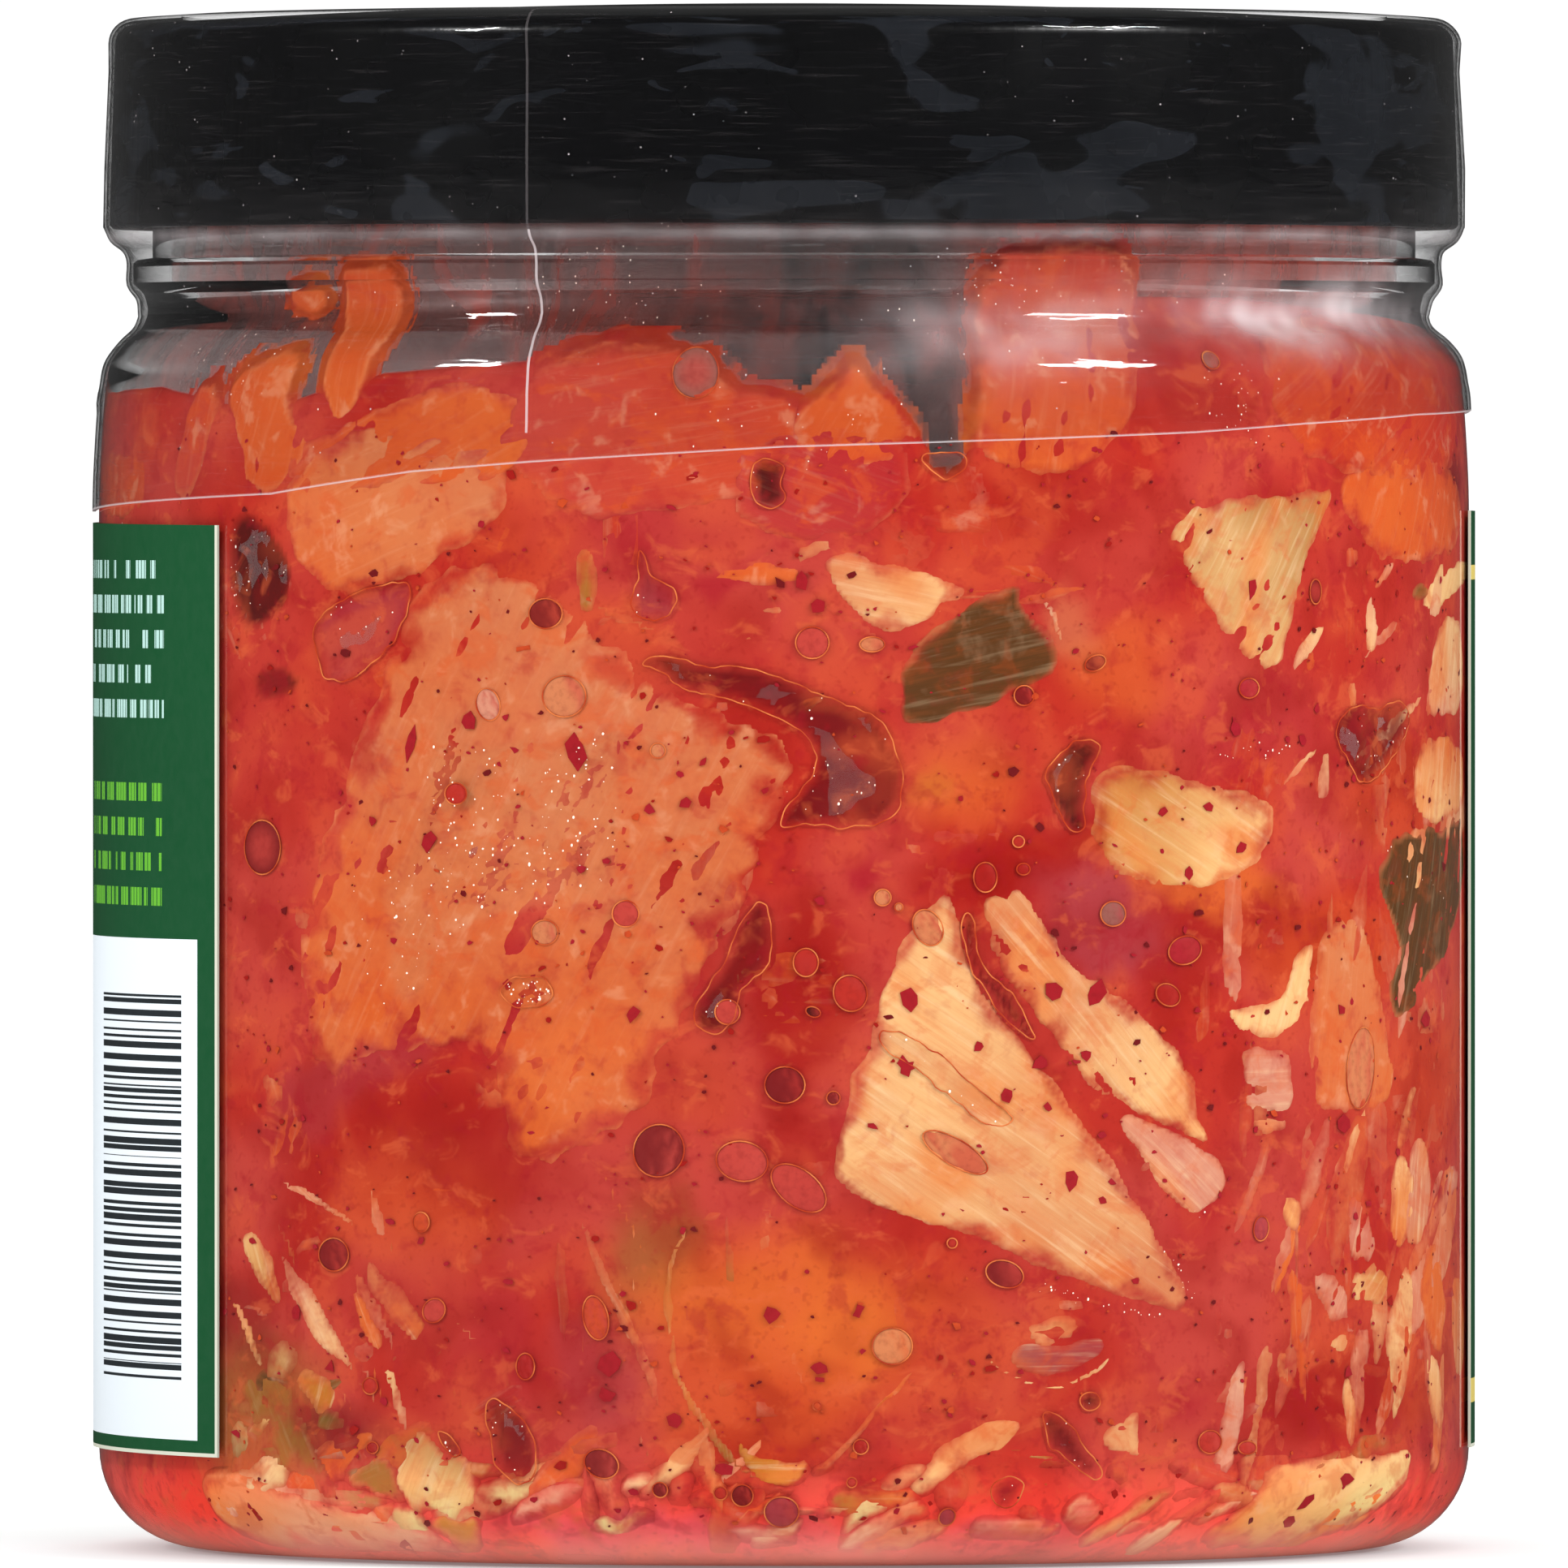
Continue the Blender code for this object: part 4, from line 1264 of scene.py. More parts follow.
BUBBLES = tuple(Bubble(*row) for row in rows_of("""
    694,858 26,25 BEIGE; 600,868 14,20 SHELL 20; 560,978 13,13 RED; 671,756 20,18 MAROON;
    1001,792 20,19 ROSE; 1075,794 15,9 BEIGE; 1263,857 12,12 MAROON; 1351,817 13,9 MAROON 20;
    1541,848 12,12 CRIMSON; 1623,729 7,15 MAROON; 1215,1081 14,18 DEEP; 1262,1071 8,7 DEEP;
    1256,1037 7,7 RED; 1373,1126 15,15 GREY; 1462,1171 20,17 CRIMSON 10; 1441,1226 15,13 DEEP -20;
    1144,1143 17,23 BEIGE 28; 1088,1106 10,10 BEIGE; 1108,1118 5,5 BEIGE; 993,1186 15,17 RED;
    1048,1224 20,22 RED 20; 896,1247 15,15 ROSE; 967,1337 24,22 MAROON; 1027,1353 8,8 MAROON;
    811,1418 30,32 MAROON -30; 914,1431 31,24 ROSE -10; 984,1464 38,22 ROSE -38; 517,1506 10,12 ORANGE;
    409,1546 18,20 MAROON; 1174,1532 6,6 DEEP; 1239,1570 23,16 MAROON -16; 733,1624 15,27 ORANGE 12;
    1100,1659 24,22 BEIGE; 740,1804 21,17 MAROON -20; 812,1836 9,9 MAROON; 887,1840 8,8 RED;
    914,1843 13,13 MAROON; 963,1863 21,18 MAUVE; 1061,1783 9,9 DEEP; 1050,1827 6,6 RED;
    1007,1733 5,5 ORANGE; 533,1615 14,14 ROSE 30; 454,1708 9,10 RED; 646,1684 11,16 DEEP;
    457,1784 7,7 DEEP; 1493,1777 14,14 RED; 1539,1784 11,8 RED; 1172,1869 10,10 MAUVE;
    1556,1514 9,15 MAUVE -16; 321,1044 22,33 MAROON; 1002,1247 9,6 SOOT -20; 770,1126 16,16 ROSE;
    810,925 9,9 BEIGE; 670,1149 16,15 BEIGE; 1679,1316 17,50 BEIGE -10; 1178,1420 44,16 BEIGE -30;
    1505,445 10,10 GREY; 855,460 28,30 GREY
"""))


@dataclass(frozen=True)
class Cut:
    """A cut of cabbage or leaf pressed on the wall.

    The outline is in photograph pixels. The grain is in degrees from level, turning
    towards up, and the colour runs from `near` to `far` along it.
    """

    name: str
    kind: Flesh
    grain: float
    near: Tint
    far: Tint
    outline: str
    edge: float = 1.4
    veil: float = 0.08
    relief: float = 0.12
    lift: float = 0.0
    wobble: float = 0.5
    thick: float = 2.4
    # How strong the painted highlight along the cut's edge is.
    shine: float = 1.0


CUTS = tuple(described(Cut, 5, """
broad_slab SKIN 62 AMBER BEIGE 2.6 0.3 0.2 0 1 4 515,716 45,-26 80,10 80,60 80,90 130,40 55,40 -20,55
-26,55 -40,99 -50,100 -33,60 -26,82 -50,19 -79,50 -51,-60 -10,-110 -120,20 -91,32 -23,-92 4,-101 29,-115
40,-116 33,-83;
lower_wedge STEM -34 CREAM BEIGE 1.5 0.04 0.16 0.06 0.35 4 1166,1090 19,33 7,50 20,53 46,53 20,26 60,73
53,76 53,90 29,57 -23,17 -72,-20 -97,-35 -66,-31 -116,-34 -83,-44 20,-49 10,-80 30,-46 10,-67 36,-72;
upper_wedge STEM -48 BEIGE CREAM 1.6 0.12 0.3 0.05 0.5 3.5 1255,1083 17,17 23,39 36,60 34,13 56,44 33,36
23,40 -3,26 23,57 -26,-10 -47,-23 -46,-17 -40,-27 -26,-46 -34,-40 -33,-40 -36,-63 3,-43;
onion_sliver STEM -40 SHELL SHELL 0.7 0.2 0.08 0.08 0.3 1380,1368 43,14 56,26 34,27 3,33 -27,26 -29,0
-30,-30 -24,-39 -26,-24;
streaky_piece STEM -30 GOLD CREAM 1.6 0.1 0.16 0.03 0.6 3.5 1346,960 13,-19 73,7 80,20 66,23 -8,49 -40,50
-90,10 -74,-20 -20,-56;
shoulder_wedge STEM 58 CREAM OLIVE 1.1 0.12 0.22 0.03 0.6 3.5 1432,640 78,-30 80,-2 71,-21 -37,79 -30,100
-16,79 -47,-40 -19,-20 -40,-53;
streaky_top STEM -12 BEIGE CREAM 1.6 0.2 0.18 0.02 0.6 1005,690 25,-14 80,14 87,26 -7,24 -75,45 -55,-20
-30,-30;
green_blade LEAF 12 MOSS MOSS 0.8 0.1 0.12 0.08 1111,902 -3,-63 10,-40 30,-27 72,-40 40,-20 6,47 40,20
0,40 -36,33 -90,33;
right_leaf LEAF 70 MOSS MOSS 0.5 0.05 0.3 0.08 0.7 1712,1040 10,-20 55,0 23,-20 6,40 -5,66 -10,43 -10,37
-20,13 -16,40 -14,23 -13,-6 -6,-30 13,-47 -7,-46 -16,-33 -4,-27;
leaf_scrap LEAF 40 MOSS OLIVE 0.5 0.1 0.1 0.06 1742,722 18,-4 6,16 -14,14 -12,-10;
pale_tee STEM 70 CREAM CREAM 0.7 0.12 0.25 0.05 1592,1173 27,-17 6,17 -6,79 -27,27 -53,0 -20,-14 -6,-16
10,-10 56,-10 13,-30;
pale_crumb STEM 0 SHELL SHELL 1 0.2 0.35 0.04 0.7 1526,1285 66,7 10,30 -6,50 -17,33 -27,-4 -13,-29 -6,-50;
orange_strip SKIN 80 AMBER BEIGE 1.1 0.2 0.2 0.03 1625,1139 53,-19 17,53 17,99 13,66 -25,34 -75,0 -6,-34
-7,-86;
strip_low_a STEM 84 AMBER CREAM 0.9 0.1 0.2 0.04 1722,1418 19,6 7,56 -10,50 -22,18 -4,-68;
strip_low_b STEM 80 BEIGE SHELL 0.6 0.2 0.1 0.06 1742,1404 18,-4 8,70 -12,67 -25,0 3,-47;
blob_low STEM 60 CREAM CREAM 0.9 0.1 0.2 0.04 1576,1471 24,-5 10,24 -10,31 -16,-11;
pink_crumb STEM 70 SHELL ROSE 0.8 0.25 0.35 0.04 0.8 1660,1480 26,-10 12,50 -4,40 -24,0 -10,-40;
gold_crumb STEM 40 CREAM GOLD 0.9 0.2 0.3 0.04 0.8 1664,1562 26,-10 26,18 -4,30 -22,18 -22,-18;
mid_crumb STEM 60 SHELL SHELL 1 0.35 0.3 0.03 0.8 1618,1552 32,8 18,40 -6,40 -22,-10 -18,-40;
tall_flame SKIN 84 AMBER AMBER 0.8 0.1 0.2 0.05 1760,1540 8,-20 12,40 4,60 -8,60 -20,-40 -8,-60;
low_flame STEM 84 AMBER CREAM 0.8 0.15 0.2 0.04 1756,1668 16,-4 12,56 -8,56 -14,-36;
edge_flame STEM 86 BEIGE AMBER 0.6 0.15 0.15 0.04 1788,1590 10,-30 8,60 -2,80 -12,-10;
upper_edge STEM 70 SHELL CREAM 0.8 0.1 0.2 0.05 0.6 1775,760 25,-10 6,100 -16,40 -34,-10 6,-50;
upper_edge_low STEM 78 CREAM AMBER 0.8 0.15 0.2 0.05 0.6 1744,925 26,-20 34,10 0,85 -28,16 -34,-6;
thin_rib STEM 82 AMBER CREAM 0.8 0.2 0.12 0.04 1655,1700 9,-10 12,40 -4,60 -12,-10;
pale_spot STEM 80 CREAM BEIGE 1 0.2 0.12 0.02 1575,1664 17,-4 4,30 -8,25 -14,-15;
pale_spot_high STEM 60 CREAM BEIGE 0.9 0.15 0.12 0.02 1640,1650 18,-14 10,14 -8,22 -16,-4;
base_slab_right SKIN 20 AMBER CREAM 1 0.1 0.2 0.05 0.4 1529,1873 29,-40 5,-32 115,-11 46,-3 20,0 -5,37
-26,35 -52,29 -69,14 -86,-6;
onion_ring STEM 0 CREAM CREAM 0.35 0.1 0.06 0.08 0.2 1212,1672 12,0 22,20 34,12 32,0 34,-16 22,-20 8,2
-24,26 -40,17 -44,-3 -32,-16;
onion_face STEM 0 GREY MAUVE 0.9 0.3 0.06 0.04 0.3 1236,1676 26,-26 38,10 60,-20 6,24 -26,22 -40,12
-38,-4;
onion_heart STEM 0 CREAM BEIGE 1 0.2 0.4 0.06 1 1269,1640 21,-22 40,6 4,26 -24,14 -30,-4;
leaf_low_mid SKIN 30 CREAM AMBER 0.9 0.15 0.2 0.05 0.6 1120,1839 43,-72 66,-26 37,17 -25,35 -35,-3 -72,57;
leaf_low_side SKIN -20 BEIGE CREAM 0.9 0.25 0.2 0.03 0.6 1350,1765 50,-30 14,25 -14,25 30,15 -58,-5;
rose_crumb STEM 0 SHELL ROSE 1 0.3 0.3 0.03 0.8 1318,1850 32,-12 22,22 -22,25 -28,-5;
floor_sliver STEM 40 SHELL BEIGE 0.5 0.15 0.1 0.06 1420,1905 20,-25 40,-18 -10,28 -30,22;
leaf_vein STEM 100 OLIVE GOLD 0.8 0.25 0.08 0.04 0.4 838,1505 10,0 -12,55 -10,60 12,60 28,60 40,50 38,36
-14,2 -42,-32 -42,-52 -24,-60 -8,-64 8,-60;
gold_edge STEM 0 GOLD GOLD 0.6 0.15 0.2 0.06 900,1780 16,0 24,20 40,3 20,-7 -4,19 -12,18 -34,1 -28,-22;
right_vein STEM 42 AMBER AMBER 0.7 0.35 0.06 0.03 0.3 1000,1812 46,-44 50,-56 28,-32 6,8 -28,34 -48,58
-46,40;
left_vein STEM -60 BEIGE ROSE 1 0.35 0.06 0.03 0.3 712,1505 12,0 20,55 26,44 30,64 20,72 -12,-2 -24,-58
-30,-64 -26,-50;
haze_strip STEM 0 SHELL SHELL 1.2 0.4 0.05 0.03 0.3 870,1882 40,-6 60,10 20,12 -60,2;
base_left_slab SKIN -16 AMBER SHELL 1.2 0.1 0.2 0.05 0.4 236,1812 61,-2 86,37 72,18 43,8 32,32 60,9
-210,-6 -130,-12;
base_mid_piece STEM 24 SHELL AMBER 1 0.25 0.2 0.04 0.6 1030,1910 23,-28 29,-20 48,-15 30,13 -50,20 -40,28;
cream_rib_left STEM -66 CREAM GOLD 1 0.1 0.12 0.04 292,1518 20,-6 20,43 17,45 -9,12 -22,-20 -18,-37;
rose_rib_left STEM -60 SHELL CREAM 1 0.2 0.15 0.04 340,1532 23,31 32,46 29,55 11,28 -23,-11 -34,-40
-26,-52;
clear_rib_left STEM -50 BEIGE AMBER 1.2 0.35 0.15 0.03 441,1543 43,32 26,31 17,35 -17,23 -23,-23 -35,-46;
orange_rib_left STEM -66 AMBER AMBER 0.8 0.2 0.15 0.04 430,1590 20,10 20,50 -2,22 -22,-22 -14,-32;
thin_stem_left STEM -34 SHELL AMBER 0.5 0.15 0.1 0.05 339,1448 23,8 38,22 40,27 -8,9 -40,-22 -46,-28;
gold_chunk STEM 70 GOLD GOLD 0.8 0.1 0.4 0.06 1.2 363,1692 38,-14 14,43 0,26 -20,11 -17,-25 -17,-21;
pale_curl STEM 60 CREAM OLIVE 0.7 0.15 0.45 0.07 1.2 490,1753 37,-3 20,34 37,26 -2,37 -26,15 -23,8 -29,-5
-14,-41 -3,-34;
olive_fold LEAF 20 OLIVE OLIVE 0.8 0.2 0.35 0.05 1 418,1807 69,-14 11,60 -46,-9 -28,-20;
olive_tip LEAF 0 OLIVE GOLD 0.8 0.15 0.35 0.05 1 504,1870 75,-4 -4,24 -14,18 -34,-6;
olive_shade LEAF -60 OLIVE OLIVE 1.6 0.4 0.3 0.02 1.2 300,1680 50,20 40,80 30,70 -40,-10 -50,-60 -34,-50;
green_strip SKIN 86 OLIVE GOLD 1 0.2 0.15 0.04 702,672 26,0 14,28 -4,52 -22,10 -12,-22;
pink_sliver STEM -62 SHELL BEIGE 0.4 0.15 0.08 0.05 0.3 1281,738 10,-2 15,24 12,30 -8,6 -14,-28;
left_lobe SKIN 20 AMBER BEIGE 1.4 0.25 0.2 0.04 0.6 4 345,640 4,-37 23,-43 68,-40 80,10 100,30 20,60
-80,60 -60,36 -48,13 -40,7 -33,-23 -25,-37;
upper_ramp SKIN 26 ORANGE AMBER 1 0.15 0.25 0.06 0.4 4 345,590 7,-30 48,-30 50,-25 62,-27 48,-8 80,10
20,80 -60,40 -120,0 -100,20;
orange_lobe SKIN 70 ORANGE AMBER 0.5 0.05 0.25 0.07 0.4 4 268,500 14,-40 28,-20 47,-9 -5,39 -7,30 31,40
-4,30 -32,36 -22,6 -22,-22 -4,-42;
side_lobe SKIN 76 ROSE ORANGE 0.6 0.15 0.2 0.05 0.4 4 218,540 6,-40 14,-26 18,-4 6,30 -12,60 -10,40
-18,20 -14,-20;
back_left SKIN 84 ORANGE ORANGE 1 0.3 0.2 0.02 0.6 4 112,640 4,-80 34,-4 26,4 2,80;
hanging_leaf SKIN 88 AMBER ORANGE 0.4 0.05 0.12 0.05 0.3 1.2 374,330 26,-4 56,0 2,74 -14,50 -2,30 -14,30
-18,14 -16,-24 -8,-32 8,-38 -16,-50;
neck_patch SKIN 40 ORANGE AMBER 1 0.3 0.1 0.03 0.4 1.2 300,350 52,-10 4,32 -16,18 -30,-4;
front_rise SKIN 10 ROSE ORANGE 1.2 0.25 0.25 0.04 0.6 4 600,560 40,-90 60,-40 90,-10 70,20 40,34 50,6
40,20 -15,90 -155,50 -120,0;
peak_lobe SKIN 60 ORANGE AMBER 1 0.15 0.2 0.03 0.4 3 960,540 30,-40 25,-20 20,-22 15,-12 18,6 16,24 28,34
26,34 -48,36 -90,0;
centre_blade SKIN -20 ROSE CRIMSON 1.4 0.3 0.15 0.03 0.6 4 898,640 4,-80 28,-20 70,-20 100,20 30,20
-10,80 -120,40;
right_pile SKIN 80 AMBER ROSE 1.4 0.3 0.25 0.03 0.6 3 1200,560 6,-80 10,-80 10,-70 74,-30 120,-4 20,64
-20,100 -40,100 -90,40;
right_pile_far SKIN 30 ORANGE RED 1.2 0.25 0.25 0.04 0.6 4 1560,420 80,-40 80,20 70,60 16,100 -46,40
-100,-10 -80,-50;
right_pile_low SKIN 60 AMBER ORANGE 1.2 0.2 0.25 0.05 0.6 4 1640,600 60,-40 90,0 16,100 -46,40 -70,-10
"""))


@dataclass(frozen=True)
class Zone:
    """A part of the window, in photograph pixels, strewn with loose scraps of one kind."""

    name: str
    low: tuple[int, int]
    high: tuple[int, int]
    count: int
    lean: float
    spread: float
    long: tuple[float, float]
    slim: tuple[float, float]
    veil: tuple[float, float]
    tints: str
    lift: float = 0.0

    def cuts(self) -> Iterable[Cut]:
        """The zone's scraps, each an uneven oval along the zone's lean."""
        draw = random.Random(self.name)
        tints = [Tint[name] for name in self.tints.split()]
        for k in range(self.count):
            x, y = draw.uniform(self.low[0], self.high[0]), draw.uniform(self.low[1], self.high[1])
            long, slim = draw.uniform(*self.long), draw.uniform(*self.slim)
            degrees = self.lean + draw.uniform(-self.spread, self.spread)
            lean = math.radians(degrees)
            corners = []
            for step in range(8):
                at = math.tau * step / 8
                reach = draw.uniform(0.65, 1.2)
                along, across = long * math.cos(at) * reach, long * slim * math.sin(at) * reach
                corners.append(f"{x + along * math.cos(lean) + across * math.sin(lean):.0f},"
                               f"{y + across * math.cos(lean) - along * math.sin(lean):.0f}")
            near, far = draw.choices(tints, k=2)
            yield Cut(f"{self.name}_{k}", Flesh.SCRAP, degrees, near, far, " ".join(corners),
                      edge=draw.uniform(0.5, 1.8) * (0.5 + slim), veil=draw.uniform(*self.veil), relief=0.08,
                      wobble=0.4, lift=self.lift + draw.uniform(-0.02, 0.02), thick=0.5,
                      shine=draw.uniform(0.0, 1.0))


ZONES = (
    Zone("scrap", (270, 560), (1790, 1890), 130, 0, 90, (26, 95), (0.25, 0.75), (0.35, 0.75),
         "ORANGE AMBER ROSE ROSE RED CRIMSON BEIGE DEEP", -0.12),
    Zone("fleck", (270, 560), (1800, 1890), 150, 0, 90, (8, 24), (0.4, 0.9), (0.2, 0.6),
         "ORANGE AMBER CRIMSON ROSE BEIGE DEEP SHELL", -0.04),
    Zone("right_shred", (1500, 1110), (1790, 1760), 38, 82, 14, (34, 130), (0.08, 0.22), (0.15, 0.6),
         "CREAM AMBER BEIGE SHELL ORANGE ROSE", -0.02),
    Zone("shoulder_shred", (1580, 700), (1800, 1060), 20, 70, 24, (24, 70), (0.14, 0.4), (0.1, 0.5),
         "CREAM AMBER SHELL ORANGE", -0.02),
    Zone("left_shred", (300, 1480), (600, 1740), 20, -62, 14, (20, 70), (0.10, 0.26), (0.1, 0.5),
         "CREAM AMBER SHELL GOLD ROSE", -0.02),
    Zone("low_shred", (280, 1780), (1760, 1890), 46, 14, 34, (20, 80), (0.12, 0.4), (0.1, 0.5),
         "CREAM AMBER OLIVE SHELL BEIGE ORANGE", -0.02),
    Zone("middle_shred", (690, 1480), (900, 1830), 16, -70, 18, (24, 80), (0.08, 0.25), (0.25, 0.6),
         "OLIVE ROSE BEIGE AMBER", -0.03),
    Zone("upper_shred", (560, 640), (1300, 800), 18, -8, 30, (20, 70), (0.15, 0.5), (0.25, 0.6),
         "ORANGE BEIGE AMBER ROSE", -0.03),
    Zone("olive_crumb", (290, 1660), (580, 1880), 22, 40, 60, (10, 34), (0.4, 0.9), (0.05, 0.4),
         "OLIVE GOLD MOSS CREAM", -0.01),
)


@dataclass(frozen=True)
class Wall:
    """Where the filling meets the jar's wall, and how it stands back from it."""

    into_wall: float = 0.8
    seed: float = 5.0

    def base(self, height: np.ndarray) -> np.ndarray:
        """The radius of depth 0, a little inside the plastic."""
        return JAR.inner_radius(height) + self.into_wall

    def wrapped(self, flat: np.ndarray) -> np.ndarray:
        """Unrolled points wrapped onto the wall, none below the jar's floor."""
        held = flat.copy()
        held[:, 2] = np.maximum(held[:, 2], JAR.wall - 0.2 + 0.1 * np.tanh(held[:, 2]))
        return Workshop.wrapped(held, self.base(held[:, 2]))

    def press(self, mesh: bpy.types.Mesh) -> np.ndarray:
        """Wraps an unrolled mesh onto the wall, and returns its points as they were."""
        flat = Workshop.points(mesh)
        Workshop.move(mesh, self.wrapped(flat))
        return flat

    def pockets(self, places: np.ndarray) -> tuple[np.ndarray, np.ndarray, np.ndarray]:
        """The pockets' effect at (arc, height) places.

        Args:
            places: One row for each place.

        Returns:
            The extra depth, the share of painted shade and its colour at each place.
        """
        depth = np.zeros(len(places))
        dark = np.zeros(len(places))
        colour = np.tile(Tint.MAROON.linear, (len(places), 1))
        moved = wobbled(places, 0.25, 0.8, self.seed)
        grit = rough(with_third(places), 1.7, 31.0)
        for pocket in POCKETS:
            within = inside_distance(moved, outline_of(pocket.outline))
            near = within > -0.5
            hollow = pocket.depth * (1.0 - np.exp(-np.maximum(within, 0.0) / 1.6))
            hollow = hollow * (1.0 + 0.45 * pocket.grit * grit)
            depth = np.where(near, np.maximum(depth, hollow), depth)
            # Painted shade: the pocket's tint laid over the filling inside the hollow.
            share = pocket.dark * smooth(-0.15, 0.8, within)
            colour = np.where((share > dark)[:, None], pocket.tint.linear, colour)
            dark = np.maximum(dark, share)
        return np.minimum(depth, self.into_wall - 0.1), dark, colour

    def sauce(self, places: np.ndarray) -> np.ndarray:
        """The sauce's colour at (arc, height) places, as linear light."""
        moved = wobbled(wobbled(places, 2.2, 0.14, 3.0), 0.9, 0.5, 8.0)
        share = smooth(-0.5, 0.5, rough(with_third(places), 0.09, 12.0))
        colour = mixed(Tint.ROSE.linear, Tint.RED.linear, share)
        for patch in PATCHES:
            colour = mixed(colour, patch.tint.linear, patch.share(moved))
        return colour


WALL = Wall()


@dataclass(frozen=True)
class SauceBody:
    """The sauce and packed kimchi behind the cuts, filling the jar to its wall."""

    steps: int = 480
    rows: int = 160
    front_share: float = 0.6
    front_turn: float = 74.0
    core: float = 51.0
    middle: float = 92.0
    wall_radius: float = 55.75
    level: float = 100.0
    top: tuple[tuple[float, float], ...] = (
        (-180, 99.0), (-110, 99.0), (-84, 95.5), (-66, 96.0), (-50, 94.0), (-36, 97.0), (-20, 98.0),
        (-8, 95.5), (4, 94.5), (9, 95.5), (14, 88.0), (20, 99.0), (26, 103.5), (45, 103.5), (64, 102.0),
        (90, 100.0), (180, 99.0))
    lumps: tuple[tuple[float, float, tuple[float, float, float]], ...] = (
        (60, 38, (12, 9, 5)), (-40, 36, (12, 9, 5)), (118, 36, (12, 10, 5)), (180, 34, (13, 10, 5)),
        (238, 35, (12, 10, 5)), (150, 8, (13, 11, 5)))

    def fill(self, turn: np.ndarray) -> np.ndarray:
        """The filling's height at the wall, at a turn in degrees."""
        return np.interp(turn, [t for t, _ in self.top], [z for _, z in self.top])

    def top_height(self, x: float, y: float) -> float:
        """The height of the top: the fill line at the wall, sinking to a lumpy middle."""
        turn = np.degrees(math.atan2(x, -y))
        share = min(1.0, math.hypot(x, y) / self.core)
        lumps = noise.noise(Vector((x, y, 0.0)) * 0.06) * (1.0 - share ** 4)
        return self.middle + (float(self.fill(turn)) - self.middle) * share ** 2 + 6.0 * lumps

    def lumpy_height(self, x: float, y: float) -> float:
        """The height of the top with its rounded lumps standing on it."""
        height = self.top_height(x, y)
        for turn, radius, (wide, deep, high) in self.lumps:
            angle = math.radians(turn)
            middle = (radius * math.sin(angle), -radius * math.cos(angle))
            along = (x - middle[0]) * math.cos(angle) + (y - middle[1]) * math.sin(angle)
            out = (y - middle[1]) * math.cos(angle) - (x - middle[0]) * math.sin(angle)
            inside = 1.0 - (along / wide) ** 2 - (out / deep) ** 2
            if inside > 0.0:
                height = max(height, self.top_height(*middle) + high * math.sqrt(inside))
        return height

    def profile(self) -> Path:
        """The body's section, its top at `level` before it is shaped."""
        floor = JAR.push_up + JAR.wall - 0.2
        points = [(0.0, floor), (JAR.push_up_radius - 0.7, floor), (JAR.foot_inner - 0.5, JAR.wall - 0.2)]
        ring = JAR.body_radius - JAR.base_round
        points += arc_points((ring, JAR.base_round), JAR.base_round - JAR.wall + 0.2, -90.0, 0.0, 12)
        points += [(self.wall_radius, JAR.base_round + (self.level - JAR.base_round) * k / self.rows)
                   for k in range(1, self.rows + 1)]
        points += [(55.0 * (1.0 - k / 16), self.level) for k in range(1, 16)]
        points.append((0.0, self.level))
        return points

    def warped(self, points: np.ndarray) -> np.ndarray:
        """Turns the columns so that most of them lie in the window."""
        turn = np.degrees(np.arctan2(points[:, 0], -points[:, 1]))
        size, sign = np.abs(turn) / 180.0, np.sign(turn)
        front = size / self.front_share * self.front_turn
        back = self.front_turn + (size - self.front_share) / (1 - self.front_share) * (180 - self.front_turn)
        turn = np.radians(np.where(size < self.front_share, front, back) * sign)
        radius = np.hypot(points[:, 0], points[:, 1])
        return np.column_stack([radius * np.sin(turn), -radius * np.cos(turn), points[:, 2]])

    def build(self) -> bpy.types.Object:
        """Builds the body, hollowed at the pockets and lumpy on top."""
        mesh = Workshop.mesh_of(Workshop.spin(self.profile(), self.steps), "sauce_body")
        points = self.warped(Workshop.points(mesh))
        flat = Workshop.unroll(points)
        turn = np.degrees(flat[:, 0] / ARC_RADIUS)
        fill = self.fill(turn)
        height = flat[:, 2].copy()
        side = height > JAR.base_round
        height[side] = JAR.base_round + (height[side] - JAR.base_round) * (
            fill[side] - JAR.base_round) / (self.level - JAR.base_round)
        reach = WALL.base(height)
        share = np.clip(flat[:, 1] / self.wall_radius, 0.0, 1.0)
        radius = np.where(side, reach * share, flat[:, 1])
        top = side & (flat[:, 2] > self.level - 0.001)
        small = rough(points * (1.0, 1.0, 0.0), 0.3, 2.0) * (1.0 - share ** 6)
        height[top] = [self.lumpy_height(x, y) for x, y, _ in points[top]] + small[top]
        places = np.column_stack([flat[:, 0], height])
        depth, dark, tint = WALL.pockets(places)
        wavy = 0.10 + 0.05 * rough(np.column_stack([places, radius]), 0.35, 6.0)
        rim = np.clip((fill - height) / 2.0, 0.0, 1.0)
        at_wall = side & (share > 0.98)
        radius = np.where(at_wall, radius - depth - wavy - 0.9 * (1.0 - rim) ** 2, radius)
        sauce = WALL.sauce(places)
        # Painted light: brighter towards the jar's base; painted shade on the top.
        shade = np.where(top, 0.75, 1.0 + 1.7 * smooth(11.0, 1.0, height))[:, None]
        sauce = mixed(sauce, tint, dark) * shade
        turned = flat[:, 0] / ARC_RADIUS
        Workshop.move(mesh, np.column_stack([radius * np.sin(turned), -radius * np.cos(turned), height]))
        Workshop.paint(mesh, own=sauce, sauce=sauce, cover=np.ones(len(points)),
                       grain=np.column_stack([flat[:, 0], flat[:, 1], height]))
        return Workshop.finish(mesh, Filling("sauce").material(), "kimchi", 50.0, "kimchi")


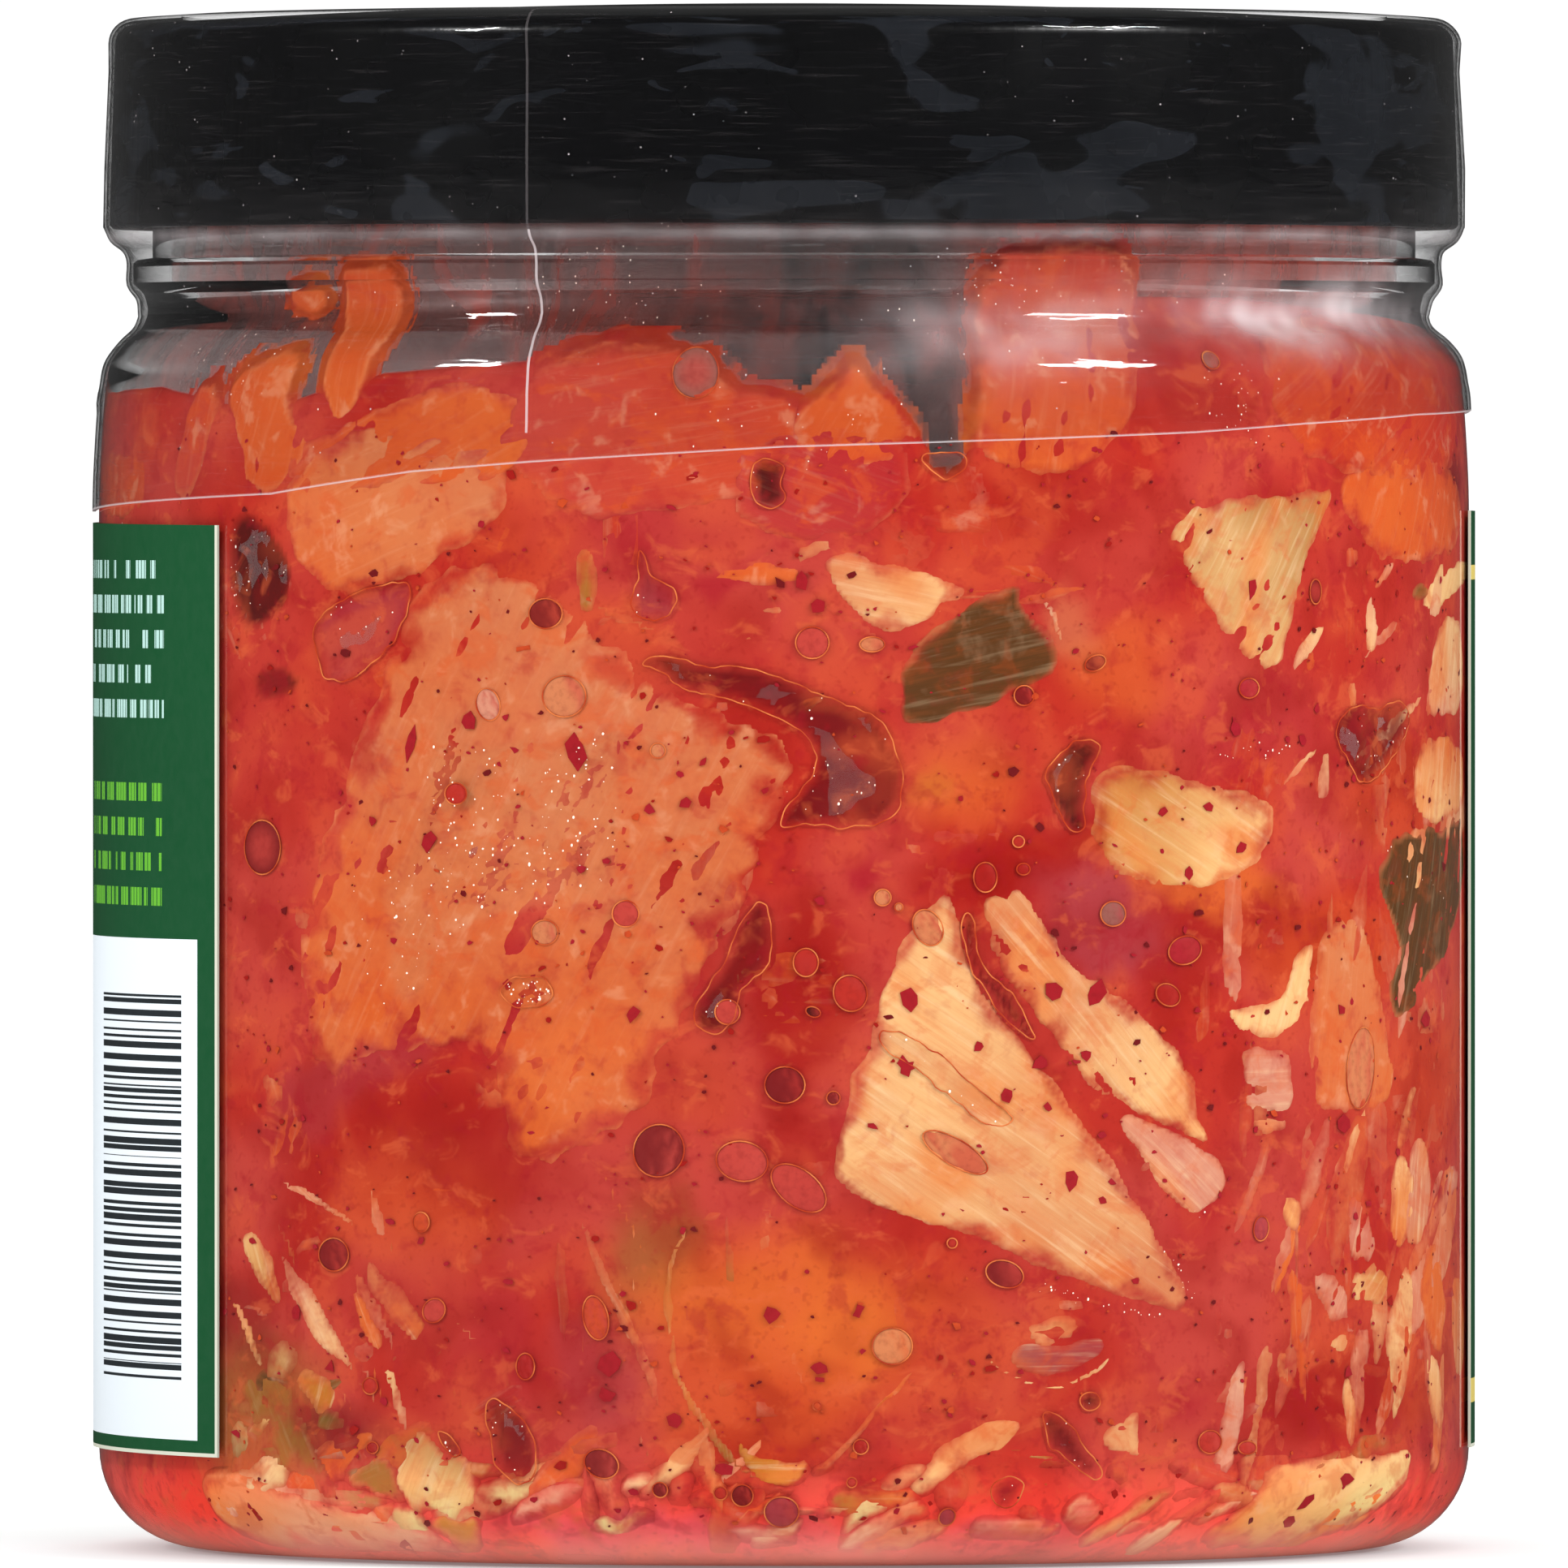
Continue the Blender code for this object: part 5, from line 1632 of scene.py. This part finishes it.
@dataclass(frozen=True)
class Cuts:
    """All the cuts of one kind, joined."""

    kind: Flesh
    pitch: float = 0.42
    margin: float = 1.0
    border: float = 1.6

    @staticmethod
    def within(cut: Cut, places: np.ndarray, outline: np.ndarray, seed: float) -> np.ndarray:
        """How far places lie inside a cut's outline once that is made uneven."""
        return inside_distance(wobbled(places, cut.wobble, 0.45, seed), outline)

    def slab(self, cut: Cut, seed: float) -> tuple[bmesh.types.BMesh, np.ndarray]:
        """One cut's flat slab and its outline."""
        outline = outline_of(cut.outline)
        low, high = outline.min(0) - self.border, outline.max(0) + self.border

        def keep(places: np.ndarray) -> np.ndarray:
            """Whether each place belongs to the slab."""
            return self.within(cut, places, outline, seed) > -self.margin

        return Workshop.sheet(tuple(low), tuple(high), (self.pitch, self.pitch), cut.thick, keep), outline

    def shaped(self, cut: Cut, seed: float) -> bpy.types.Mesh:
        """One cut, in place and painted."""
        bm, outline = self.slab(cut, seed)
        mesh = Workshop.mesh_of(bm, cut.name)
        flat = Workshop.points(mesh)
        places = flat[:, (0, 2)]
        within = self.within(cut, places, outline, seed)
        along, across = along_across(places - outline.mean(0), cut.grain)
        grain = np.column_stack([along + seed * 31.0, np.full(len(along), seed), across])
        sink = 0.9 * (1.0 - smooth(-0.7, 0.45, within))
        lumps = rough(grain * (0.12, 1.0, 0.8), 1.0, seed) + 0.5 * rough(grain, 0.9, seed + 4.0)
        lumps = cut.relief * lumps
        depth, dark, tint = WALL.pockets(places)
        inward = flat[:, 1] + sink + np.maximum(lumps, -0.08) + depth - cut.lift
        height = flat[:, 2]
        Workshop.move(mesh, WALL.wrapped(np.column_stack([flat[:, 0], inward, height])))
        span = max(1.0, float(np.abs(along).max()))
        share = np.clip(0.5 + 0.5 * along / span + 0.25 * rough(grain, 0.18, seed + 1.0), 0.0, 1.0)
        own = mixed(cut.near.linear, cut.far.linear, share)
        sauce = WALL.sauce(places)
        uneven = smooth(-0.5, 0.5, rough(with_third(places), 0.28, seed + 2.0))
        # Painted highlight: a pale band just inside the cut's edge, with less sauce over it.
        painted_glow = 0.45 * cut.shine * smooth(-0.1, 0.15, within) * smooth(0.75, 0.3, within) * uneven
        blush = 0.62 if cut.kind is Flesh.STEM else 0.0
        warm = blush * smooth(0.0, 0.45, rough(grain * (0.12, 1.0, 0.22), 1.0, seed + 9.0))
        own = mixed(own, linear((236, 134, 62)), warm)
        own = own * 0.9 + sauce * 0.1
        own, sauce = mixed(own, tint, dark), mixed(sauce, tint, dark)
        bare = smooth(-1.0, 1.0, height - SauceBody().fill(np.degrees(places[:, 0] / ARC_RADIUS)))
        sauce = mixed(sauce, own * 0.7, bare)
        fade = smooth(-0.1, 1.0, within / (cut.edge * (0.3 + 1.4 * uneven)))
        cover = cut.veil + (1.0 - cut.veil) * (1.0 - fade)
        own = mixed(own, linear((244, 150, 96)), painted_glow)
        cover = cover * (1.0 - painted_glow)
        # Painted light: the cuts are painted brighter towards the jar's base.
        lift = 1.0 + 0.9 * smooth(11.0, 1.0, height)[:, None]
        own, sauce = np.minimum(own * lift, 1.0), np.minimum(sauce * lift, 1.0)
        Workshop.paint(mesh, own=own, sauce=sauce, cover=cover, grain=grain)
        return mesh

    def build(self) -> bpy.types.Object:
        """Builds every cut of this kind and joins them."""
        bm = bmesh.new()
        loose = tuple(cut for zone in ZONES for cut in zone.cuts())
        for k, cut in enumerate(CUTS + loose):
            if cut.kind is self.kind:
                mesh = self.shaped(cut, 1.0 + k)
                bm.from_mesh(mesh)
                bpy.data.meshes.remove(mesh)
        joined = Workshop.mesh_of(bm, self.kind.value[0])
        return Workshop.finish(joined, Filling(*self.kind.value).material(), "kimchi", 50.0, "kimchi")


@dataclass(frozen=True)
class Bubbles:
    """The small bubbles' domes, painted with the light and shade seen in them."""

    bulge: float = 0.16

    def build(self) -> bpy.types.Object:
        """Builds the domes of all bubbles as one piece."""
        colours: list[np.ndarray] = []

        def dome(bm: bmesh.types.BMesh, bubble: Bubble) -> None:
            """Adds one bubble's dome, and the colours of its points."""
            centre, size = VIEW.spread(bubble.at, bubble.size, 0.35)
            made = bmesh.ops.create_uvsphere(bm, u_segments=20, v_segments=10, radius=1.0)["verts"]
            shape = Matrix.Diagonal((size[0], self.bulge, size[1], 1.0))
            tilt = Matrix.Rotation(math.radians(-bubble.tilt), 4, "Y")
            place = Matrix.Translation((centre[0], -0.02, centre[1]))
            bmesh.ops.transform(bm, matrix=place @ tilt @ shape, verts=made)
            # Painted shade: the dome is the sauce's colour, a little brighter in the middle, turning to the
            # bubble's tint towards its edge.
            local = WALL.sauce(centre[None, :])[0]
            away = np.hypot([v.co.x - centre[0] for v in made], [v.co.z - centre[1] for v in made])
            share = 0.35 + 0.5 * smooth(0.3, 1.0, away / max(size))
            colours.extend(mixed(local * 1.05 + 0.01, bubble.tint.linear, share))

        makers = [lambda bm, b=bubble: dome(bm, b) for bubble in BUBBLES]
        mesh = Workshop.mesh_of(Workshop.gathered(makers, 10), "wall_bubbles")
        WALL.press(mesh)
        Workshop.paint(mesh, own=np.array(colours))
        return Workshop.finish(mesh, Plain("bubble", 0.4, 0.06).material(), "kimchi")


@dataclass(frozen=True)
class HighlightRims:
    """Thin bright rims painted round pockets and bubbles: painted highlights where light catches their edges.
    """

    gauge: float = 0.06

    def outlines(self) -> Iterable[tuple[np.ndarray, Tint]]:
        """Each rim's closed line in (arc, height), and its colour."""
        for pocket in POCKETS:
            if pocket.rim:
                yield wobbled(outline_of(pocket.outline, 3), 0.25, 0.8, WALL.seed + 40.0), pocket.rim
        for bubble in BUBBLES:
            centre, size = VIEW.spread(bubble.at, bubble.size, 0.35)
            turn = math.radians(-bubble.tilt)
            angles = np.linspace(0.0, math.tau, 28, endpoint=False)
            x, z = size[0] * np.cos(angles), size[1] * np.sin(angles)
            ring = np.column_stack([x * math.cos(turn) + z * math.sin(turn),
                                    z * math.cos(turn) - x * math.sin(turn)])
            yield centre + ring, Tint.AMBER

    def build(self) -> bpy.types.Object:
        """Builds all rims as one piece from closed curves."""
        curve = bpy.data.curves.new("rims", "CURVE")
        curve.dimensions = "3D"
        curve.bevel_depth = self.gauge
        curve.bevel_resolution = 1
        for line, _ in self.outlines():
            spline = curve.splines.new("POLY")
            spline.points.add(len(line) - 1)
            spline.use_cyclic_u = True
            for point, (arc, height) in zip(spline.points, line):
                point.co = (arc, -0.1, height, 1.0)
        holder = bpy.data.objects.new("rims", curve)
        bpy.context.scene.collection.objects.link(holder)
        bpy.context.view_layer.update()
        mesh = bpy.data.meshes.new_from_object(holder.evaluated_get(bpy.context.evaluated_depsgraph_get()))
        mesh.name = "pocket_rims"
        bpy.data.objects.remove(holder)
        bpy.data.curves.remove(curve)
        pale = smooth(-0.4, 0.5, rough(WALL.press(mesh), 0.5, 3.0))
        # Painted highlight: orange, paler in patches.
        Workshop.paint(mesh, own=mixed(linear((196, 60, 24)), linear((240, 132, 70)), pale))
        bm = bmesh.new()
        bm.from_mesh(mesh)
        bmesh.ops.recalc_face_normals(bm, faces=bm.faces)
        bm.to_mesh(mesh)
        bm.free()
        return Workshop.finish(mesh, Plain("rim", 0.4, 0.1).material(), "kimchi")


FLAKES = tuple(rows_of("""
    505,915 13,33; 708,925 20,26; 575,888 12,14; 525,1037 14,18; 1123,1232 17,20; 1207,1289 10,9;
    1118,1314 12,16; 1242,1350 14,12; 1293,1365 9,9; 1322,1454 11,16; 1361,1480 7,9; 990,714 13,16;
    1008,749 12,15; 866,938 8,7; 844,991 9,10; 944,974 7,7; 1545,727 8,18; 1490,993 8,8; 1435,1001 7,8;
    1532,1045 9,8; 1467,1075 10,12; 778,1249 13,12; 1119,1315 12,14; 1076,1388 10,6; 1658,1385 13,14;
    1654,1242 7,8; 1758,1256 8,13; 752,1681 22,18; 747,1719 12,14; 832,1750 15,15; 953,1620 13,13;
    1009,1684 17,10; 1058,1616 10,9; 890,1810 15,11; 1402,1577 8,7; 1664,1690 6,12; 1620,1850 12,8;
    1612,1873 10,8; 1664,1822 10,12; 462,1900 16,8; 309,1529 6,6; 362,1616 9,14; 405,1685 8,10;
    1300,1222 16,18; 1350,1225 18,22; 1284,1310 14,12; 1340,1300 10,10; 1185,985 6,6; 458,1011 8,8;
    1010,1700 8,6
"""))


@dataclass(frozen=True)
class Flakes:
    """Chilli flakes at the wall, on cuts and in the sauce."""

    count: int = 1300
    seed: int = 7
    named_share: float = 0.8

    def shard(self, bm: bmesh.types.BMesh, place: Sequence[float], size: Sequence[float],
              draw: random.Random, lift: float) -> None:
        """Adds one thin uneven shard, its size in millimetres."""
        made = bmesh.ops.create_circle(bm, cap_ends=True, segments=6, radius=1.0)["verts"]
        for vert in made:
            vert.co *= draw.uniform(0.45, 1.25)
        faces = list({face for vert in made for face in vert.link_faces})
        skin = bmesh.ops.extrude_face_region(bm, geom=faces)["geom"]
        back = [item for item in skin if isinstance(item, bmesh.types.BMVert)]
        bmesh.ops.translate(bm, vec=(0.0, 0.0, -1.0), verts=back)
        shape = Matrix.Diagonal((size[0], size[1], 0.12, 1.0))
        spin = Matrix.Rotation(draw.uniform(-0.5, 0.5), 4, "Z")
        stand = Matrix.Rotation(math.radians(90.0), 4, "X")
        put = Matrix.Translation((place[0], -lift, place[1]))
        bmesh.ops.transform(bm, matrix=put @ stand @ spin @ shape, verts=made + back)

    def build(self) -> bpy.types.Object:
        """Builds the named large flakes and the scattered small ones as one piece."""
        draw = random.Random(self.seed)
        tones = (Tint.CRIMSON, Tint.CRIMSON, Tint.DEEP, Tint.MAROON, Tint.ORANGE)
        colours: list[np.ndarray] = []
        makers = []
        for at, (wide, high) in FLAKES:
            place, size = VIEW.spread(at, (self.named_share * wide, self.named_share * high), 0.4)
            makers.append(lambda bm, p=place, s=size: self.shard(bm, p, s, draw, 0.16))
            colours += [linear((168, 26, 36))] * 12
        for _ in range(self.count):
            place = (math.radians(draw.uniform(-62.0, 86.0)) * ARC_RADIUS, draw.uniform(3.0, 92.0))
            wide = min(0.62, 0.1 + draw.expovariate(9.0))
            size, lift = (wide, wide * draw.uniform(0.5, 1.0)), draw.uniform(0.08, 0.14)
            makers.append(lambda bm, p=place, s=size, up=lift: self.shard(bm, p, s, draw, up))
            colours += [draw.choice(tones).linear] * 12
        mesh = Workshop.mesh_of(Workshop.gathered(makers), "chilli_flakes")
        flat = Workshop.points(mesh)
        depth, _, _ = WALL.pockets(flat[:, (0, 2)])
        flat[:, 1] += depth
        Workshop.move(mesh, WALL.wrapped(flat))
        Workshop.paint(mesh, own=np.array(colours))
        return Workshop.finish(mesh, Plain("chilli", 0.45, 0.06).material(), "kimchi", 20.0)


@dataclass(frozen=True)
class Glints:
    """Tiny pale beads that glow a little: painted highlights in pockets and along edges."""

    seed: int = 19
    lines: tuple[tuple[tuple[int, int], tuple[int, int], int], ...] = (
        ((1262, 1580), (1440, 1628), 26), ((1500, 930), (1590, 922), 16), ((1445, 1545), (1470, 1600), 12),
        ((436, 1080), (470, 1240), 8), ((150, 642), (158, 742), 7),
        ((1700, 1040), (1796, 1120), 9), ((1452, 1493), (1488, 1494), 3))
    fields: tuple[tuple[tuple[int, int], tuple[int, int], int], ...] = (
        ((1030, 960), (40, 40), 9), ((290, 440), (90, 60), 40), ((700, 350), (200, 60), 46),
        ((1300, 360), (200, 50), 50), ((1540, 490), (46, 38), 30), ((1000, 520), (120, 60), 26))

    def places(self, draw: random.Random) -> Iterable[tuple[float, float, float]]:
        """Each bead's arc, height and radius."""
        for pocket in POCKETS:
            outline = outline_of(pocket.outline)
            low, high = outline.min(0), outline.max(0)
            tries = np.array([(draw.uniform(low[0], high[0]), draw.uniform(low[1], high[1]))
                              for _ in range(pocket.glints * 4 + 4)])
            kept = tries[inside_distance(tries, outline) > 0.15][:pocket.glints]
            for arc, height in kept:
                yield arc, height, 0.03 + 0.09 * draw.random() ** 2
        for start, end, count in self.lines:
            for _ in range(count):
                share = draw.random()
                pixel = [s + (e - s) * share + draw.gauss(0.0, 4.0) for s, e in zip(start, end)]
                arc, height = VIEW.unrolled([tuple(pixel)])[0]
                yield arc, height, 0.03 + 0.07 * draw.random() ** 2
        for centre, reach, count in self.fields:
            for _ in range(count):
                pixel = (centre[0] + draw.gauss(0, 0.6) * reach[0], centre[1] + draw.gauss(0, 0.6) * reach[1])
                arc, height = VIEW.unrolled([pixel])[0]
                yield arc, height, 0.03 + 0.05 * draw.random() ** 2

    def build(self) -> bpy.types.Object:
        """Builds all the beads as one piece."""
        draw = random.Random(self.seed)

        def bead(bm: bmesh.types.BMesh, arc: float, height: float, radius: float) -> None:
            """Adds one bead."""
            made = bmesh.ops.create_icosphere(bm, subdivisions=1, radius=radius)["verts"]
            stretch = Matrix.Diagonal((1.0, 0.5, draw.uniform(0.7, 1.6), 1.0))
            put = Matrix.Translation((arc, -0.12, height))
            bmesh.ops.transform(bm, matrix=put @ stretch, verts=made)

        makers = [lambda bm, at=at: bead(bm, *at) for at in self.places(draw)]
        mesh = Workshop.mesh_of(Workshop.gathered(makers), "wet_glints")
        count = len(WALL.press(mesh))
        Workshop.paint(mesh, own=np.tile(linear((255, 226, 204)), (count, 1)))
        # The beads' pale colour and glow are painted highlights.
        return Workshop.finish(mesh, Plain("glint", 0.1, 0.8, 0.35).material(), "kimchi")


@dataclass(frozen=True)
class Smear:
    """The sauce left on the inside of the neck and shoulder."""

    low: float = 86.0
    high: float = 122.0
    thick: float = 0.05

    def build(self) -> bpy.types.Object:
        """Builds the coat all round the inside, thin at the front and thick at the back."""
        half = math.pi * ARC_RADIUS
        bm = Workshop.sheet((-half, self.low), (half, self.high), (1.4, 0.9), self.thick)
        mesh = Workshop.mesh_of(bm, "neck_smear")
        flat = Workshop.points(mesh)
        turn = np.degrees(flat[:, 0] / ARC_RADIUS)
        height = flat[:, 2]
        placed = flat + (0.0, 0.06, 0.0)
        Workshop.move(mesh, Workshop.wrapped(placed, JAR.inner_radius(height)))
        thin = np.exp(-((turn - 5) / 12) ** 2)
        cover = 0.62 - 0.22 * thin + 0.35 * smooth(95.0, 130.0, np.abs(turn))
        tone = smooth(12, 26, turn) * smooth(140, 80, turn)
        Workshop.paint(mesh, unrolled=np.column_stack([flat[:, 0], flat[:, 1], height]), cover=cover,
                       tone=tone * 0.7)
        return Workshop.finish(mesh, SauceSmear().material(), "kimchi")


@dataclass(frozen=True)
class Studio:
    """The pale floor, the white surroundings and the two soft lamps."""

    lamp_turn: float = 57.0
    lamp_height: float = 30.0
    lamp_distance: float = 1.1
    left_size: tuple[float, float] = (0.16, 0.10)
    right_size: tuple[float, float] = (0.34, 0.11)
    left_power: float = 3.2
    right_power: float = 5.0
    aim_height: float = 0.07
    floor_size: float = 4.0
    floor_drop: float = 0.0002
    floor_glow: float = 0.15
    seen_light: float = 1.05
    mirrored_light: float = 0.05
    other_light: float = 1.02

    def floor(self) -> None:
        """A large plain pale floor."""
        bm = bmesh.new()
        bmesh.ops.create_grid(bm, x_segments=2, y_segments=2, size=self.floor_size)
        bmesh.ops.translate(bm, vec=(0.0, 0.0, -self.floor_drop), verts=bm.verts)
        mesh = Workshop.mesh_of(bm, "floor")
        graph = Graph("pale_floor")
        soft = graph.noise(graph.place(), 3.0, 2.0)
        base = graph.mix(soft * 0.1, (0.93, 0.93, 0.93), (0.9, 0.9, 0.9))
        pale = graph.principled(Base_Color=base, Roughness=1.0, Specular_IOR_Level=0.0,
                                Emission_Color=(1.0, 1.0, 1.0), Emission_Strength=self.floor_glow)
        dim = graph.principled(Base_Color=(0.06, 0.06, 0.06), Roughness=1.0)
        mirrored = (graph.node("ShaderNodeLightPath", output="Is Glossy Ray")
                    * (1.0 - graph.node("ShaderNodeLightPath", output="Is Transmission Ray")))
        mesh.materials.append(graph.finish(graph.blend(mirrored, pale, dim)))
        floor = bpy.data.objects.new("floor", mesh)
        bpy.context.scene.collection.objects.link(floor)

    def surroundings(self) -> None:
        """White to the eye, softer to the jar's gloss."""
        world = bpy.data.worlds.new("studio")
        bpy.context.scene.world = world
        world.use_nodes = True
        tree = world.node_tree
        tree.nodes.clear()
        path = tree.nodes.new("ShaderNodeLightPath")
        mirrored = tree.nodes.new("ShaderNodeMath")
        mirrored.operation = "GREATER_THAN"
        glossy = tree.nodes.new("ShaderNodeMix")
        glossy.inputs[2].default_value = self.other_light
        glossy.inputs[3].default_value = self.mirrored_light
        seen = tree.nodes.new("ShaderNodeMix")
        seen.inputs[3].default_value = self.seen_light
        background = tree.nodes.new("ShaderNodeBackground")
        background.inputs["Color"].default_value = (1.0, 1.0, 1.0, 1.0)
        output = tree.nodes.new("ShaderNodeOutputWorld")
        for source, target in (
                (path.outputs["Is Glossy Ray"], mirrored.inputs[0]),
                (path.outputs["Is Transmission Ray"], mirrored.inputs[1]),
                (mirrored.outputs[0], glossy.inputs[0]), (glossy.outputs[0], seen.inputs[2]),
                (path.outputs["Is Camera Ray"], seen.inputs[0]),
                (seen.outputs[0], background.inputs["Strength"]),
                (background.outputs[0], output.inputs["Surface"])):
            tree.links.new(source, target)

    def lamp(self, name: str, turn: float, size: tuple[float, float], power: float) -> None:
        """One soft lamp aimed at the shoulder."""
        data = bpy.data.lights.new(name, "AREA")
        data.shape = "RECTANGLE"
        data.size, data.size_y = size
        data.energy = power
        lamp = bpy.data.objects.new(name, data)
        angle, rise = math.radians(turn), math.radians(self.lamp_height)
        aim = Vector((0.0, 0.0, self.aim_height))
        away = Vector((math.sin(angle) * math.cos(rise), -math.cos(angle) * math.cos(rise), math.sin(rise)))
        lamp.location = aim + away * self.lamp_distance
        lamp.rotation_euler = (-away).to_track_quat("-Z", "Y").to_euler()
        bpy.context.scene.collection.objects.link(lamp)

    def build(self) -> None:
        """Sets up floor, world, lamps and how the picture is developed."""
        self.floor()
        self.surroundings()
        self.lamp("lamp_left", -self.lamp_turn, self.left_size, self.left_power)
        self.lamp("lamp_right", self.lamp_turn, self.right_size, self.right_power)
        scene = bpy.context.scene
        scene.view_settings.view_transform = "Standard"
        scene.view_settings.look = "None"
        scene.cycles.max_bounces = 5
        scene.cycles.diffuse_bounces = 1
        scene.cycles.glossy_bounces = 2
        scene.cycles.transmission_bounces = 4
        scene.cycles.transparent_max_bounces = 9


def main() -> None:
    """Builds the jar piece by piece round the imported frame."""
    logging.basicConfig(level=logging.INFO, format="%(name)s %(message)s")
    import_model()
    VIEW.add_camera()
    Studio().build()
    Jar().build()
    Cap().build()
    Sleeve().build()
    Label().build()
    SauceBody().build()
    for kind in (Flesh.STEM, Flesh.LEAF, Flesh.SKIN):
        Cuts(kind).build()
    Cuts(Flesh.SCRAP, 0.57, 0.4).build()
    Bubbles().build()
    HighlightRims().build()
    Flakes().build()
    Glints().build()
    Smear().build()


if __name__ == "__main__":
    main()
